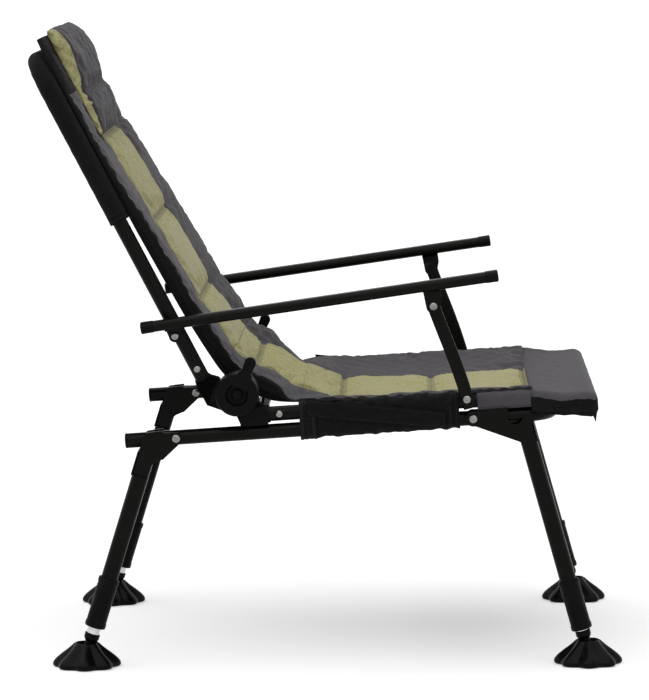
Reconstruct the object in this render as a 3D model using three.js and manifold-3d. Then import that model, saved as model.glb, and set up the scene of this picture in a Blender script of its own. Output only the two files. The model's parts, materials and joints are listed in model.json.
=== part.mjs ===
// Folding carp chair with a reclining back, swinging arms and four telescopic legs on mud feet.
// Millimetres. +X is the front of the seat, +Y the sitter's left, +Z up; the feet stand on z = 0.

import * as THREE from 'three';
import { mergeVertices } from 'three/addons/utils/BufferGeometryUtils.js';
import Module from 'manifold-3d';

const wasm = await Module();
wasm.setup();

// General clearances
const seatGap = 0.3;          // between pieces that touch
const runGap = 0.5;           // between pieces that slide or turn on each other
const cutOver = 2;            // overrun of a cutting tool past the face it cuts
const weldTolerance = 1e-4;   // points closer than this are one

// Frame layout
const trackWidth = 560;       // between the centres of the left and right side tubes
const pivotHeight = 343;      // rear leg pivot above the ground
const rakeAngle = 3.4;        // the frame rises to the front, degrees
const tubeRadius = 11;
const tubeWall = 1.6;

// Seat frame, measured along the rail from the rear leg pivot
const seatFrontReach = 612;   // axis of the front bar
const frameGap = 4;           // between the rail and the seat tube above it
const seatFrontRise = 15;     // front bar above the rail axis
const seatFrontRun = 38;      // level end of the side tube behind the front bar
const seatDropRun = 55;       // sloping part behind that
const seatDropRadius = 90;
const seatCorner = 36;
const seatKink = 20;
const strutSetback = 7.4;     // strut foot behind the front leg pivot
const strutRise = 31;
const bossRadius = 7;
const bossLength = 6.5;

// Lower frame
const railRearReach = 73;     // behind the rear leg pivot
const railSetback = 57;       // its front bar behind the front bar of the seat
const railCorner = 36;
const frontPivotSetback = 115; // front leg pivot behind the lower front bar
const rearCrossReach = 118;

// Recline hinge
const hingeReach = 95.2;      // hinge axis along the rail
const hingeRise = 60.6;       // hinge axis above the rail axis
const backLeanAngle = 117.2;  // back tubes from the ground, degrees
const backOffset = 35.7;      // back tube axis behind the hinge axis
const tubeMouth = 42;         // start of both tubes from the hinge axis
const discRadius = 32;
const plateHalf = 13;         // half the thickness of the hinge
const boltRadius = 4;
const boltHeadRadius = 8;
const boltHeadHeight = 5;
const socketWall = 1.2;
const spigotLength = 30;
const toothHeight = 1.25;
const toothInner = 16;
const toothInset = 2;         // teeth inside the rim of the disc
const toothCount = 14;
const backToeAngle = -24;     // where the rims of the discs start and end, degrees
const backHeelAngle = 240;
const seatToeAngle = -16;
const seatHeelAngle = 260;
const screwRadius = 2.5;
const screwHeadRadius = 4.6;
const screwHeadHeight = 2.4;
const screwInset = 17.5;

// Knob
const knobHub = 15.6;
const knobDepth = 20;
const knobRecess = 7;
const knobHubHeight = 4.5;
const knobHubRadius = 8;
const handleReach = 60;
const handleTip = 8.5;
const handleRoot = 13;
const handleDepth = 13;
const handleAngle = 67;       // handle above the horizontal, degrees

// Back frame
const backLength = 569;       // hinge foot to the axis of the top bar
const backCorner = 48;

// Arms
const armRear = 43;           // rear end behind the rear arm pivot
const armHalfWidth = 12.5;
const armHalfHeight = 8;
const armOverStrut = 3;       // arm centre line outside that of the strut
const armSlopeAngle = 8;      // degrees
const armCapLength = 15;
const armCapWall = 1.1;
const armPivotBack = 118.3;   // rear arm pivot up the back tube from the hinge foot
const armPivotAft = 6;        // and behind the tube axis
const armDropRear = 20.2;     // rear pivot under the arm centre line
const armDropFront = 30.9;
const armFrontPivot = 383.7;  // front arm pivot ahead of the rear one
const armNose = 96.3;         // front end ahead of the front arm pivot
const cheekWall = 2.5;
const armCheekRound = 9;
const strutHalfWidth = 9.5;
const strutHalfThick = 4;
const strutBow = 4;
const rivetRadius = 3;
const rivetHeadRadius = 5.5;
const rivetHeadHeight = 2.6;

// Legs
const legRadius = 12.5;
const legWall = 2.3;
const rearOffset = 35;        // leg axis from its pivot
const frontOffset = 70;
const rearSplayAngle = 17.5;  // from the vertical, degrees
const frontSplayAngle = 15.4;
const rearLegTop = 32.5;      // along the leg from the pivot
const frontLegTop = 31.5;
const legTopWall = 3;
const rearLegStop = 54.7;     // end of the leg tube above the ankle
const frontLegStop = 46.4;
const ankleHeight = 20;
const legCheekGap = 1.2;      // between the rail and the cheeks of a leg
const rearEyeAngle = 38;      // where the round eye of a cheek ends, degrees
const frontEyeAngle = 62;
const pivotRadius = 4;
const pivotHeadRadius = 6;
const pivotHeadHeight = 3;

// Lock sleeves
const sleeveWall = 2.8;
const sleeveOverLeg = 63;     // length of sleeve that covers the leg tube
const sleeveTravel = 8;
const sleeveLip = 4.5;        // length of the lip round the inner tube
const sleeveRim = 3;

// Inner tubes and ankles
const innerGap = 0.7;         // round the inner tube in the leg
const innerWall = 1.4;
const innerHidden = 170;      // inner tube inside the leg above the sleeve
const collarLip = 1.8;        // collar proud of the inner tube
const collarHeight = 12.5;
const neckRadius = 7.6;
const neckLength = 19;
const neckPlug = 20;
const ankleEye = 7.6;
const anklePin = 2.6;

// Mud feet
const footRadius = 53;
const footHeight = 37;
const footRimHeight = 9;
const footMouth = 16;
const footLobe = 3.2;
const footSole = 40;
const footHollow = 4;
const footWell = 12.4;
const footWellFloor = 8;

// Fabric
const clothWall = 3;          // cloth sleeve on a tube
const clothGap = 0.4;
const wrapInset = 50.8;       // wrap ahead of the rear end of the seat tube
const wrapSetback = 28.6;     // and behind the strut foot
const backSleeveLength = 264; // down the back tubes from the top bar
const padInset = 4;           // side of the back pad inside the tube axis
const padLow = 46;            // up the back tube from the hinge foot
const padOver = 29;           // top of the pad above the top bar
const padDepth = 50;          // face of the pad ahead of the back tube axis at its low end
const padRound = 45;          // how far the pad narrows over its rounded ends
const padNeck = 11;           // narrowing beside the hinge
const padShoulder = 24;       // narrowing at the top corners
const panelHalf = 140;        // half width of the contrast panel
const crownHeight = 11;       // of the channels over their seams
const borderCrown = 9;        // of the side bolsters
const lumbarInset = 24;       // side of the lumbar pad inside the tube axis
const seatPadSetback = 76.8;  // rear end of the seat pad ahead of the hinge axis
const seatPadOver = 1;        // its side outside the tube axis
const seatFill = 7.5;         // padding under the middle of the seat
const pocketLength = 80;      // front pocket of the seat cover, behind the front bar
const pocketSeam = 8;         // last seam of the seat behind the pocket
const shoeWall = 3.5;
const shoeDrop = 5;           // hem of the pocket below the rail axis
const pillowHalf = 182;
const pillowOver = 6;         // top of the pillow above the pad
const pillowLength = 176;
const pillowSeam = 4;         // seam of the pad below the pillow
const pillowDepth = 32;

// Finishes
const blackTube = { color: 0x1a1b16, roughness: 0.38, metalness: 0.55 };
const blackPlastic = { color: 0x0d0d0e, roughness: 0.55, metalness: 0 };
const brightSteel = { color: 0xb9bbb8, roughness: 0.3, metalness: 1 };
const innerSilver = { color: 0xcfd0cf, roughness: 0.35, metalness: 0.9 };
const greyCloth = { color: 0x58545a, roughness: 0.95, metalness: 0 };
const oliveCloth = { color: 0xa8a371, roughness: 0.95, metalness: 0 };
const blackCloth = { color: 0x121214, roughness: 0.95, metalness: 0 };

// Places along a pad and heights over it, as shares of its length and depth
const backFaceShares = [
  [0, 1], [0.07, 0.92], [0.17, 0.77], [0.28, 0.72], [0.43, 0.63], [0.56, 0.58], [0.68, 0.5], [0.74, 0.49],
  [1, 0.49],
];
const backRearShares = [[0, 0.52], [0.07, 0.46], [0.19, 0.37], [0.35, 0.3], [1, 0.3]];
const backSeamShares = [-0.06, 0.17, 0.42];
const seatSagShares = [
  [0, 1.08], [0.16, 0.46], [0.47, 0.32], [0.7, 0.32], [0.8, 0.38], [0.86, 0.53], [0.92, 0.58], [1, 0.71],
];
const seatSeamShares = [-0.12, 0.16, 0.473];
const pocketShares = [0.88, 0.94, 1, 1.33, 1.67, 2, 3];
const pillowPlaceShares = [0, 0.06, 0.2, 0.38, 0.46, 0.54, 0.7, 0.86, 0.96, 1];
const pillowSideShares = [-1, -0.96, -0.84, -0.5, 0, 0.5, 0.84, 0.96, 1];
const pillowSeamShare = 0.46;
const channelShares = [0, 0.08, 0.35, 0.65, 0.92];
const acrossShares = [-1, -0.93, -0.78, -0.58, -0.48, -0.36, 0, 0.36, 0.48, 0.58, 0.78, 0.93, 1];
// Rows of the lumbar pad round the hinge axis, face and underside, in shares of the hinge disc's radius
const lumbarShares = [
  [[0.17, 1.06], [-0.61, 0.72]],
  [[0.48, 0.88], [-0.23, 0.31]],
  [[0.73, 0.78], [0.2, 0.03]],
  [[1.08, 0.72], [0.7, -0.16]],
  [[1.83, 0.44], [1.64, -0.5]],
];
const lumbarCrownShares = [0.7, 0.4, 0, 0.5, 0.9];

// Sizes that follow from those above
const halfTrack = trackWidth / 2;
const seatRise = 2 * tubeRadius + frameGap;
const seatDropEnd = seatFrontReach - seatFrontRun;
const seatDropStart = seatDropEnd - seatDropRun;
const railFrontReach = seatFrontReach - railSetback;
const frontPivotReach = railFrontReach - frontPivotSetback;
const strutReach = frontPivotReach - strutSetback;
const strutLine = halfTrack + tubeRadius + bossLength + runGap + strutHalfThick;
const armLine = strutLine + armOverStrut;
const armCheekHalf = strutHalfThick + runGap;
const armFront = armFrontPivot + armNose;
const legBore = legRadius - legWall;
const legCheekInner = tubeRadius + legCheekGap;
const sleeveBore = legRadius + runGap;
const sleeveRadius = sleeveBore + sleeveWall;
const sleeveLength = sleeveOverLeg + sleeveTravel + runGap + sleeveLip;
const innerRadius = legBore - innerGap;
const collarRadius = innerRadius + collarLip;
const toothOuter = discRadius - toothInset;
const seatTubeStart = hingeReach + tubeMouth;
const wrapStart = seatTubeStart + wrapInset;
const wrapEnd = strutReach - wrapSetback;
const backSleeveEnd = backLength - backSleeveLength;
const padSide = halfTrack - padInset;
const padTop = backLength + padOver;
const lumbarHalf = halfTrack - lumbarInset;
const pillowTop = padTop + pillowOver;
const pillowLow = pillowTop - pillowLength;
const seatPadStart = hingeReach + seatPadSetback;
const seatPadHalf = halfTrack + seatPadOver;
const shoeStart = seatFrontReach - pocketLength;
const radians = THREE.MathUtils.degToRad;
const sides = { left: 1, right: -1 };

// Closed meshes and solids
function weld(geometry) {
  const plain = new THREE.BufferGeometry();
  plain.setAttribute('position', geometry.getAttribute('position').clone());
  if (geometry.index) plain.setIndex(geometry.index.clone());
  const merged = mergeVertices(plain, weldTolerance);
  const index = merged.index.array;
  const p = merged.getAttribute('position');
  const kept = [];
  let volume = 0;
  const [a, b, c] = [new THREE.Vector3(), new THREE.Vector3(), new THREE.Vector3()];
  for (let i = 0; i < index.length; i += 3) {
    const [ia, ib, ic] = [index[i], index[i + 1], index[i + 2]];
    if (ia === ib || ib === ic || ia === ic) continue;
    kept.push(ia, ib, ic);
    a.fromBufferAttribute(p, ia);
    b.fromBufferAttribute(p, ib);
    c.fromBufferAttribute(p, ic);
    volume += a.dot(b.cross(c));
  }
  if (volume < 0) {
    for (let i = 0; i < kept.length; i += 3) [kept[i], kept[i + 1]] = [kept[i + 1], kept[i]];
  }
  merged.setIndex(kept);
  return merged;
}

function toSolid(geometry) {
  const closed = weld(geometry);
  const mesh = new wasm.Mesh({
    numProp: 3,
    vertProperties: new Float32Array(closed.getAttribute('position').array),
    triVerts: new Uint32Array(closed.index.array),
  });
  return new wasm.Manifold(mesh);
}

function toGeometry(solid) {
  const mesh = solid.getMesh();
  const geometry = new THREE.BufferGeometry();
  geometry.setAttribute('position', new THREE.BufferAttribute(mesh.vertProperties.slice(), 3));
  geometry.setIndex(Array.from(mesh.triVerts));
  return geometry;
}

function join(...geometries) {
  return toGeometry(geometries.map(toSolid).reduce((a, b) => a.add(b)));
}

function cut(geometry, ...tools) {
  return toGeometry(tools.map(toSolid).reduce((a, b) => a.subtract(b), toSolid(geometry)));
}

function common(geometry, tool) {
  return toGeometry(toSolid(geometry).intersect(toSolid(tool)));
}

// Basic forms
function rodY(radius, from, to, x = 0, z = 0, count = 12) {
  const rod = new THREE.CylinderGeometry(radius, radius, to - from, count);
  rod.translate(x, (from + to) / 2, z);
  return rod;
}

function blockFrom(low, high) {
  const size = high.clone().sub(low);
  const block = new THREE.BoxGeometry(size.x, size.y, size.z);
  const middle = low.clone().add(high).multiplyScalar(0.5);
  block.translate(middle.x, middle.y, middle.z);
  return block;
}

// An outline in the XZ plane, given thickness along Y
function plate(shape, from, to, steps = 4) {
  const options = { depth: to - from, bevelEnabled: false, curveSegments: steps };
  const geometry = new THREE.ExtrudeGeometry(shape, options);
  geometry.rotateX(Math.PI / 2);
  geometry.translate(0, to, 0);
  return geometry;
}

// A profile of [radius, height] turned about the Z axis
function turned(profile, count = 16) {
  const points = profile.map(([radius, height]) => new THREE.Vector2(radius, height));
  const lathe = new THREE.LatheGeometry(points, count);
  lathe.rotateX(Math.PI / 2);
  return weld(lathe);
}

// A pin of two headed ends along Y: profile turned and laid over
function headedPin(radius, from, to, headRadius, headHeight, secondHead) {
  const crown = [headRadius * 0.7, to + headHeight * 0.8];
  const dome = [[0, to + headHeight], crown, [headRadius, to], [radius, to]];
  const foot = secondHead
    ? [[radius, from], [headRadius, from], [headRadius, from - headHeight], [0, from - headHeight]]
    : [[radius, from], [0, from]];
  const pin = turned([...dome, ...foot], 8);
  pin.rotateX(-Math.PI / 2);
  return pin;
}

// A bent tube: its path is sampled only at the ends of its straights and round its bends
class BentPath extends THREE.Curve {
  constructor(stations) {
    super();
    this.stations = stations;
  }
  getPoint(t, target = new THREE.Vector3()) {
    const last = this.stations.length - 1;
    const i = Math.min(Math.round(t * last), last);
    return target.copy(this.stations[i]);
  }
  getPointAt(u, target) {
    return this.getPoint(u, target);
  }
  getTangentAt(u, target = new THREE.Vector3()) {
    const last = this.stations.length - 1;
    const i = Math.min(Math.round(u * last), last);
    const before = this.stations[Math.max(i - 1, 0)];
    const after = this.stations[Math.min(i + 1, last)];
    const here = this.stations[i];
    const into = here.clone().sub(before).normalize();
    const out = after.clone().sub(here).normalize();
    return target.copy(into.add(out)).normalize();
  }
  getSpacedPoints(count) {
    return Array.from({ length: count + 1 }, (_, i) => this.getPoint(i / count));
  }
}

// Corners of a polyline rounded by arcs of the given radii
function bentStations(corners, radii, bendSteps = 4) {
  const stations = [corners[0].clone()];
  for (let i = 1; i < corners.length - 1; i += 1) {
    const into = corners[i].clone().sub(corners[i - 1]).normalize();
    const out = corners[i + 1].clone().sub(corners[i]).normalize();
    const turn = into.angleTo(out);
    const setback = radii[i - 1] * Math.tan(turn / 2);
    const start = corners[i].clone().addScaledVector(into, -setback);
    const inward = out.clone().addScaledVector(into, -out.dot(into)).normalize();
    const centre = start.clone().addScaledVector(inward, radii[i - 1]);
    const count = Math.max(2, Math.round((bendSteps * turn) / (Math.PI / 2)));
    for (let k = 0; k <= count; k += 1) {
      const angle = (turn * k) / count;
      const point = centre.clone();
      point.addScaledVector(inward, -radii[i - 1] * Math.cos(angle));
      point.addScaledVector(into, radii[i - 1] * Math.sin(angle));
      stations.push(point);
    }
  }
  stations.push(corners.at(-1).clone());
  return stations;
}

function ringShape(outer, inner, count) {
  const ring = (radius) => Array.from({ length: count }, (_, i) => {
    const angle = (2 * Math.PI * i) / count;
    return new THREE.Vector2(radius * Math.cos(angle), radius * Math.sin(angle));
  });
  const shape = new THREE.Shape(ring(outer));
  if (inner) shape.holes.push(new THREE.Path(ring(inner)));
  return shape;
}

function bentTube(stations, outer, inner, count = 12) {
  const options = {
    steps: stations.length - 1,
    extrudePath: new BentPath(stations),
    bevelEnabled: false,
  };
  return weld(new THREE.ExtrudeGeometry(ringShape(outer, inner, count), options));
}

// A closed slab between two surfaces over the same (u, v) grid
function slab(countU, countV, top, bottom) {
  const positions = [];
  const index = [];
  const row = countV + 1;
  const layer = row * (countU + 1);
  for (const face of [top, bottom]) {
    for (let i = 0; i <= countU; i += 1) {
      for (let j = 0; j <= countV; j += 1) {
        positions.push(...face(i / countU, j / countV));
      }
    }
  }
  const quad = (a, b, c, d) => index.push(a, b, c, a, c, d);
  for (let i = 0; i < countU; i += 1) {
    for (let j = 0; j < countV; j += 1) {
      const a = i * row + j;
      quad(a, a + row, a + row + 1, a + 1);
      quad(layer + a, layer + a + 1, layer + a + row + 1, layer + a + row);
    }
  }
  for (let i = 0; i < countU; i += 1) {
    const a = i * row;
    quad(a, layer + a, layer + a + row, a + row);
    const b = a + countV;
    quad(b, b + row, layer + b + row, layer + b);
  }
  for (let j = 0; j < countV; j += 1) {
    quad(j, j + 1, layer + j + 1, layer + j);
    const c = countU * row + j;
    quad(c, layer + c, layer + c + 1, c + 1);
  }
  const geometry = new THREE.BufferGeometry();
  geometry.setAttribute('position', new THREE.Float32BufferAttribute(positions, 3));
  geometry.setIndex(index);
  return weld(geometry);
}

// Smooth curve through a table of [place, value]
function along(shares, place) {
  const places = shares.map(([at]) => at);
  const values = shares.map(([, value]) => value);
  return new THREE.CubicInterpolant(places, values, 1).evaluate(place)[0];
}

function named(name, geometry, finish) {
  const mesh = new THREE.Mesh(geometry, new THREE.MeshStandardMaterial(finish));
  mesh.name = name;
  return mesh;
}

// Layout: a raked group for the frames, hinge frames for the back and knobs
const chair = new THREE.Group();
const raked = new THREE.Group();
raked.position.set(0, 0, pivotHeight);
raked.rotation.y = -radians(rakeAngle);
chair.add(raked);

const rake = radians(rakeAngle);
const hingeX = hingeReach * Math.cos(rake) - hingeRise * Math.sin(rake);
const hingeZ = pivotHeight + hingeReach * Math.sin(rake) + hingeRise * Math.cos(rake);

// In the back group X runs up the back tube and Z is square to it, behind the tube
const back = new THREE.Group();
back.position.set(hingeX, 0, hingeZ);
back.rotation.y = -radians(backLeanAngle);
chair.add(back);

// Lower frame: a U bent from one tube, with a welded rear cross tube and rivet holes
function lowerFrame() {
  const stations = (over) => {
    const rail = (side, reach) => new THREE.Vector3(reach, side * halfTrack, 0);
    const start = -railRearReach - over;
    const corners = [rail(1, start), rail(1, railFrontReach), rail(-1, railFrontReach), rail(-1, start)];
    return bentStations(corners, [railCorner, railCorner]);
  };
  const bore = tubeRadius - tubeWall;
  const cross = (radius, inset) => {
    const end = halfTrack - inset;
    return rodY(radius, -end, end, rearCrossReach, 0);
  };
  const holes = [0, frontPivotReach].map((reach) => {
    const end = halfTrack + tubeRadius + cutOver;
    return rodY(pivotRadius + seatGap, -end, end, reach, 0, 10);
  });
  return cut(
    join(bentTube(stations(0), tubeRadius, 0), cross(bore, tubeRadius / 2)),
    bentTube(stations(cutOver), bore, 0),
    cross(bore - tubeWall, tubeWall),
    ...holes,
  );
}

function seatTubeStations(startReach) {
  const at = (side, reach, rise) => new THREE.Vector3(reach, side * halfTrack, rise);
  const railSide = (side) => [
    at(side, startReach, seatRise),
    at(side, seatDropStart, seatRise),
    at(side, seatDropEnd, seatFrontRise),
    at(side, seatFrontReach, seatFrontRise),
  ];
  const corners = [...railSide(1), ...railSide(-1).reverse()];
  return bentStations(corners, [seatDropRadius, seatKink, seatCorner, seatCorner, seatKink, seatDropRadius]);
}

function seatFrame() {
  const bore = tubeRadius - tubeWall;
  const tube = bentTube(seatTubeStations(seatTubeStart), tubeRadius, bore);
  const outer = halfTrack + tubeRadius + bossLength;
  const bosses = [];
  const holes = [];
  for (const side of Object.values(sides)) {
    const spans = (from, to) => [side * from, side * to].sort((a, b) => a - b);
    const wall = halfTrack + tubeRadius / 2;
    bosses.push(rodY(bossRadius, ...spans(wall, outer), strutReach, strutRise));
    holes.push(rodY(rivetRadius + seatGap, ...spans(halfTrack, outer + cutOver), strutReach, strutRise, 10));
    const screwAt = seatTubeStart + screwInset;
    const drill = spans(halfTrack, halfTrack + 2 * tubeRadius);
    holes.push(rodY(screwRadius + seatGap, ...drill, screwAt, seatRise, 10));
    const inside = seatTubeStations(seatTubeStart).slice(0, 2).map((point) => point.setY(side * halfTrack));
    holes.push(bentTube(inside, bore, 0));
  }
  return cut(join(tube, ...bosses), ...holes);
}

function framePlug() {
  const bore = tubeRadius - tubeWall - seatGap;
  const profile = [
    [0, tubeRadius], [bore, tubeRadius], [bore, 0], [tubeRadius, 0],
    [tubeRadius, -tubeWall], [tubeRadius - tubeWall, -2 * tubeWall], [0, -2 * tubeWall],
  ];
  return turned(profile, 12).rotateY(Math.PI / 2);
}

// Recline hinge. Both halves are drawn about the hinge axis: X up the tube, Z towards its far side.
function discArc(shape, from, to) {
  shape.absarc(0, 0, discRadius, radians(from), radians(to), false);
}

// Radial teeth of a hinge face between two radii, with their crests at y = 0
function toothRing(side) {
  const count = 2 * toothCount;
  const base = 2 * toothHeight;
  const positions = [];
  const index = [];
  for (let k = 0; k < count; k += 1) {
    const angle = (2 * Math.PI * k) / count;
    const height = k % 2 ? toothHeight : 0;
    for (const [radius, y] of [
      [toothInner, height], [toothOuter, height], [toothOuter, base], [toothInner, base],
    ]) {
      positions.push(radius * Math.cos(angle), side * y, radius * Math.sin(angle));
    }
  }
  for (let k = 0; k < count; k += 1) {
    const a = 4 * k;
    const b = 4 * ((k + 1) % count);
    for (let m = 0; m < 4; m += 1) {
      const n = (m + 1) % 4;
      index.push(a + m, b + m, b + n, a + m, b + n, a + n);
    }
  }
  const ring = new THREE.BufferGeometry();
  ring.setAttribute('position', new THREE.Float32BufferAttribute(positions, 3));
  ring.setIndex(index);
  return weld(ring);
}

function hingeHalf(outline, axisOffset, tubeSide, inner) {
  // inner is +1 where the disc lies on the +Y side of the parting face
  const parting = seatGap;
  const body = plate(outline, -plateHalf, plateHalf, 8);
  const otherDisc = inner > 0
    ? rodY(discRadius + runGap, -plateHalf - cutOver, parting + toothHeight, 0, 0, 24)
    : rodY(discRadius + runGap, -parting - toothHeight, plateHalf + cutOver, 0, 0, 24);
  const teeth = toothRing(inner).translate(0, inner * parting, 0);
  const spigotRadius = tubeRadius - tubeWall - seatGap;
  const spigot = new THREE.CylinderGeometry(spigotRadius, spigotRadius, spigotLength + cutOver, 12);
  spigot.rotateZ(Math.PI / 2);
  spigot.translate(tubeMouth + (spigotLength - cutOver) / 2, 0, axisOffset);
  const bore = rodY(boltRadius + seatGap, -plateHalf - cutOver, plateHalf + cutOver);
  const screwAt = tubeMouth + screwInset;
  const screwEnds = [0, tubeSide * (tubeRadius + cutOver)].sort((a, b) => a - b);
  const screwHole = rodY(screwRadius + seatGap, screwEnds[0], screwEnds[1], screwAt, axisOffset, 10);
  return cut(join(cut(body, otherDisc), teeth, spigot), bore, screwHole);
}

// The back half: a moulded shoe for the tube with its disc ahead of it
function backHalfOutline() {
  const heel = -backOffset - tubeRadius - socketWall;
  const toe = -backOffset + tubeRadius + socketWall;
  const shape = new THREE.Shape();
  shape.moveTo(tubeMouth - seatGap, heel);
  shape.lineTo(tubeMouth - seatGap, toe);
  shape.lineTo(tubeMouth * 0.8, toe + tubeRadius * 0.8);
  discArc(shape, backToeAngle, backHeelAngle);
  shape.lineTo(tubeMouth * 0.13, heel);
  shape.closePath();
  return shape;
}

// The seat half: the disc stands on a shoe that rests on the rail
function seatHalfOutline(axisDrop) {
  const foot = -axisDrop - (seatRise - tubeRadius) + seatGap;
  const top = -axisDrop + tubeRadius + socketWall;
  const shape = new THREE.Shape();
  shape.moveTo(tubeMouth - seatGap, foot);
  shape.lineTo(tubeMouth - seatGap, top);
  shape.lineTo(discRadius * 1.12, top);
  shape.lineTo(discRadius * 0.985, top + socketWall * 4);
  discArc(shape, seatToeAngle, seatHeelAngle);
  shape.lineTo(socketWall, foot);
  shape.closePath();
  return shape;
}

function hingeBolt(side) {
  const reach = plateHalf + knobDepth * 0.6;
  const pin = headedPin(boltRadius, -reach, plateHalf + seatGap, boltHeadRadius, boltHeadHeight, false);
  if (side > 0) pin.rotateZ(Math.PI);
  return pin;
}

// Knob with a dished face, a hub and one wing, drawn with its wing along X and its face at -Y
function knob() {
  const face = -knobDepth;
  const profile = [
    [0, face + knobRecess - knobHubHeight],
    [knobHubRadius, face + knobRecess - knobHubHeight],
    [knobHubRadius, face + knobRecess],
    [knobHub, face + knobRecess],
    [knobHub + knobHubHeight / 3, face],
    [discRadius - knobHubHeight, face],
    [discRadius, face + knobHubHeight],
    [discRadius, 0],
    [0, 0],
  ];
  const disc = turned(profile, 24);
  disc.rotateX(-Math.PI / 2);
  const wing = new THREE.Shape();
  wing.moveTo(0, -handleRoot);
  wing.quadraticCurveTo(discRadius, -handleRoot, discRadius * 1.16, -handleTip * 0.86);
  wing.lineTo(handleReach - handleTip, -handleTip);
  wing.absarc(handleReach - handleTip, 0, handleTip, -Math.PI / 2, Math.PI / 2, false);
  wing.lineTo(discRadius * 1.16, handleTip * 0.86);
  wing.quadraticCurveTo(discRadius, handleRoot, 0, handleRoot);
  wing.closePath();
  const blade = plate(wing, -knobDepth, -knobDepth + handleDepth);
  const dish = turned(
    [[0, face - cutOver], [knobHub, face - cutOver], [knobHub, face + knobRecess], [0, face + knobRecess]],
    24,
  );
  dish.rotateX(-Math.PI / 2);
  const trimmed = cut(blade, dish);
  const bore = rodY(boltRadius + seatGap, -knobDepth * 0.6 - seatGap, cutOver);
  return cut(join(disc, trimmed), bore);
}

// Back frame in the back group: tube axis at z = backOffset
function backStations(startReach) {
  const corners = [
    new THREE.Vector3(startReach, halfTrack, backOffset),
    new THREE.Vector3(backLength, halfTrack, backOffset),
    new THREE.Vector3(backLength, -halfTrack, backOffset),
    new THREE.Vector3(startReach, -halfTrack, backOffset),
  ];
  return bentStations(corners, [backCorner, backCorner]);
}

function backFrame() {
  const tube = bentTube(backStations(tubeMouth), tubeRadius, tubeRadius - tubeWall);
  const holes = [];
  for (const side of Object.values(sides)) {
    const ends = [halfTrack, halfTrack + tubeRadius + cutOver].map((y) => side * y);
    ends.sort((a, b) => a - b);
    const screwAt = tubeMouth + screwInset;
    holes.push(rodY(screwRadius + seatGap, ends[0], ends[1], screwAt, backOffset, 12));
    const pivot = backOffset + armPivotAft;
    holes.push(rodY(rivetRadius + seatGap, ends[0], ends[1], armPivotBack, pivot, 12));
  }
  return cut(tube, ...holes);
}

// Arm: a flat oval tube with a plate under its rear and a clevis under its front.
// Drawn level, with the rear pivot at the origin, on the left side.
function ovalShape(halfWidth, halfHeight) {
  const flat = halfWidth - halfHeight;
  const shape = new THREE.Shape();
  shape.absarc(flat, 0, halfHeight, -Math.PI / 2, Math.PI / 2, false);
  shape.absarc(-flat, 0, halfHeight, Math.PI / 2, (3 * Math.PI) / 2, false);
  return shape;
}

function ovalBar(halfWidth, halfHeight, from, to, wall = 0) {
  const shape = ovalShape(halfWidth, halfHeight);
  if (wall) shape.holes.push(ovalShape(halfWidth - wall, halfHeight - wall));
  const options = { depth: to - from, bevelEnabled: false, curveSegments: 3 };
  const bar = new THREE.ExtrudeGeometry(shape, options);
  bar.rotateX(Math.PI / 2);
  bar.rotateZ(Math.PI / 2);
  bar.translate(from, 0, 0);
  return weld(bar);
}

const rearPlateLine = halfTrack + tubeRadius + seatGap * 2;

function arm(side) {
  const inward = rearPlateLine - armLine;
  const top = armDropRear - armHalfHeight;
  const tube = ovalBar(armHalfWidth, armHalfHeight, -armRear, armFront, tubeWall);
  tube.translate(0, 0, armDropRear);
  const rearShape = new THREE.Shape();
  rearShape.moveTo(-armCheekRound * 1.4, top + tubeWall / 2);
  rearShape.lineTo(-armCheekRound, 0);
  rearShape.absarc(0, 0, armCheekRound, Math.PI, 2 * Math.PI, false);
  rearShape.lineTo(armCheekRound * 1.4, top + tubeWall / 2);
  rearShape.closePath();
  const rearPlate = plate(rearShape, inward, inward + cheekWall);
  const flange = blockFrom(
    new THREE.Vector3(-armCheekRound * 1.4, inward, top - cheekWall),
    new THREE.Vector3(armCheekRound * 1.4, armHalfWidth / 2, top + tubeWall / 2),
  );
  const frontShape = new THREE.Shape();
  const frontTop = armDropFront - armHalfHeight;
  const rise = armDropRear - armDropFront;
  const x = armFrontPivot;
  frontShape.moveTo(x - armCheekRound * 1.35, rise + frontTop + tubeWall / 2);
  frontShape.lineTo(x - armCheekRound * 1.2, rise);
  frontShape.absarc(x, rise, armCheekRound * 1.2, Math.PI, 1.75 * Math.PI, false);
  frontShape.lineTo(x + armCheekRound * 1.5, rise + frontTop * 0.45);
  frontShape.lineTo(x + armCheekRound * 1.5, rise + frontTop + tubeWall / 2);
  frontShape.closePath();
  const middle = strutLine - armLine;
  const inner = middle - armCheekHalf;
  const outer = middle + armCheekHalf;
  const cheeks = [
    plate(frontShape, inner - cheekWall, inner),
    plate(frontShape, outer, outer + cheekWall),
    blockFrom(
      new THREE.Vector3(x - armCheekRound * 1.35, inner - cheekWall, rise + frontTop - cheekWall),
      new THREE.Vector3(x + armCheekRound * 1.5, outer + cheekWall, rise + frontTop + tubeWall / 2),
    ),
    headedPin(rivetRadius, outer + cheekWall / 2, outer + cheekWall, rivetHeadRadius, rivetHeadHeight, false)
      .translate(x, 0, rise),
  ];
  const hole = rodY(rivetRadius + seatGap, inward - cutOver, inward + cheekWall + cutOver, 0, 0, 12);
  const body = cut(join(tube, rearPlate, flange, ...cheeks), hole);
  if (side < 0) return mirrorY(body);
  return body;
}

function mirrorY(geometry) {
  return weld(geometry.clone().scale(1, -1, 1));
}

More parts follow.
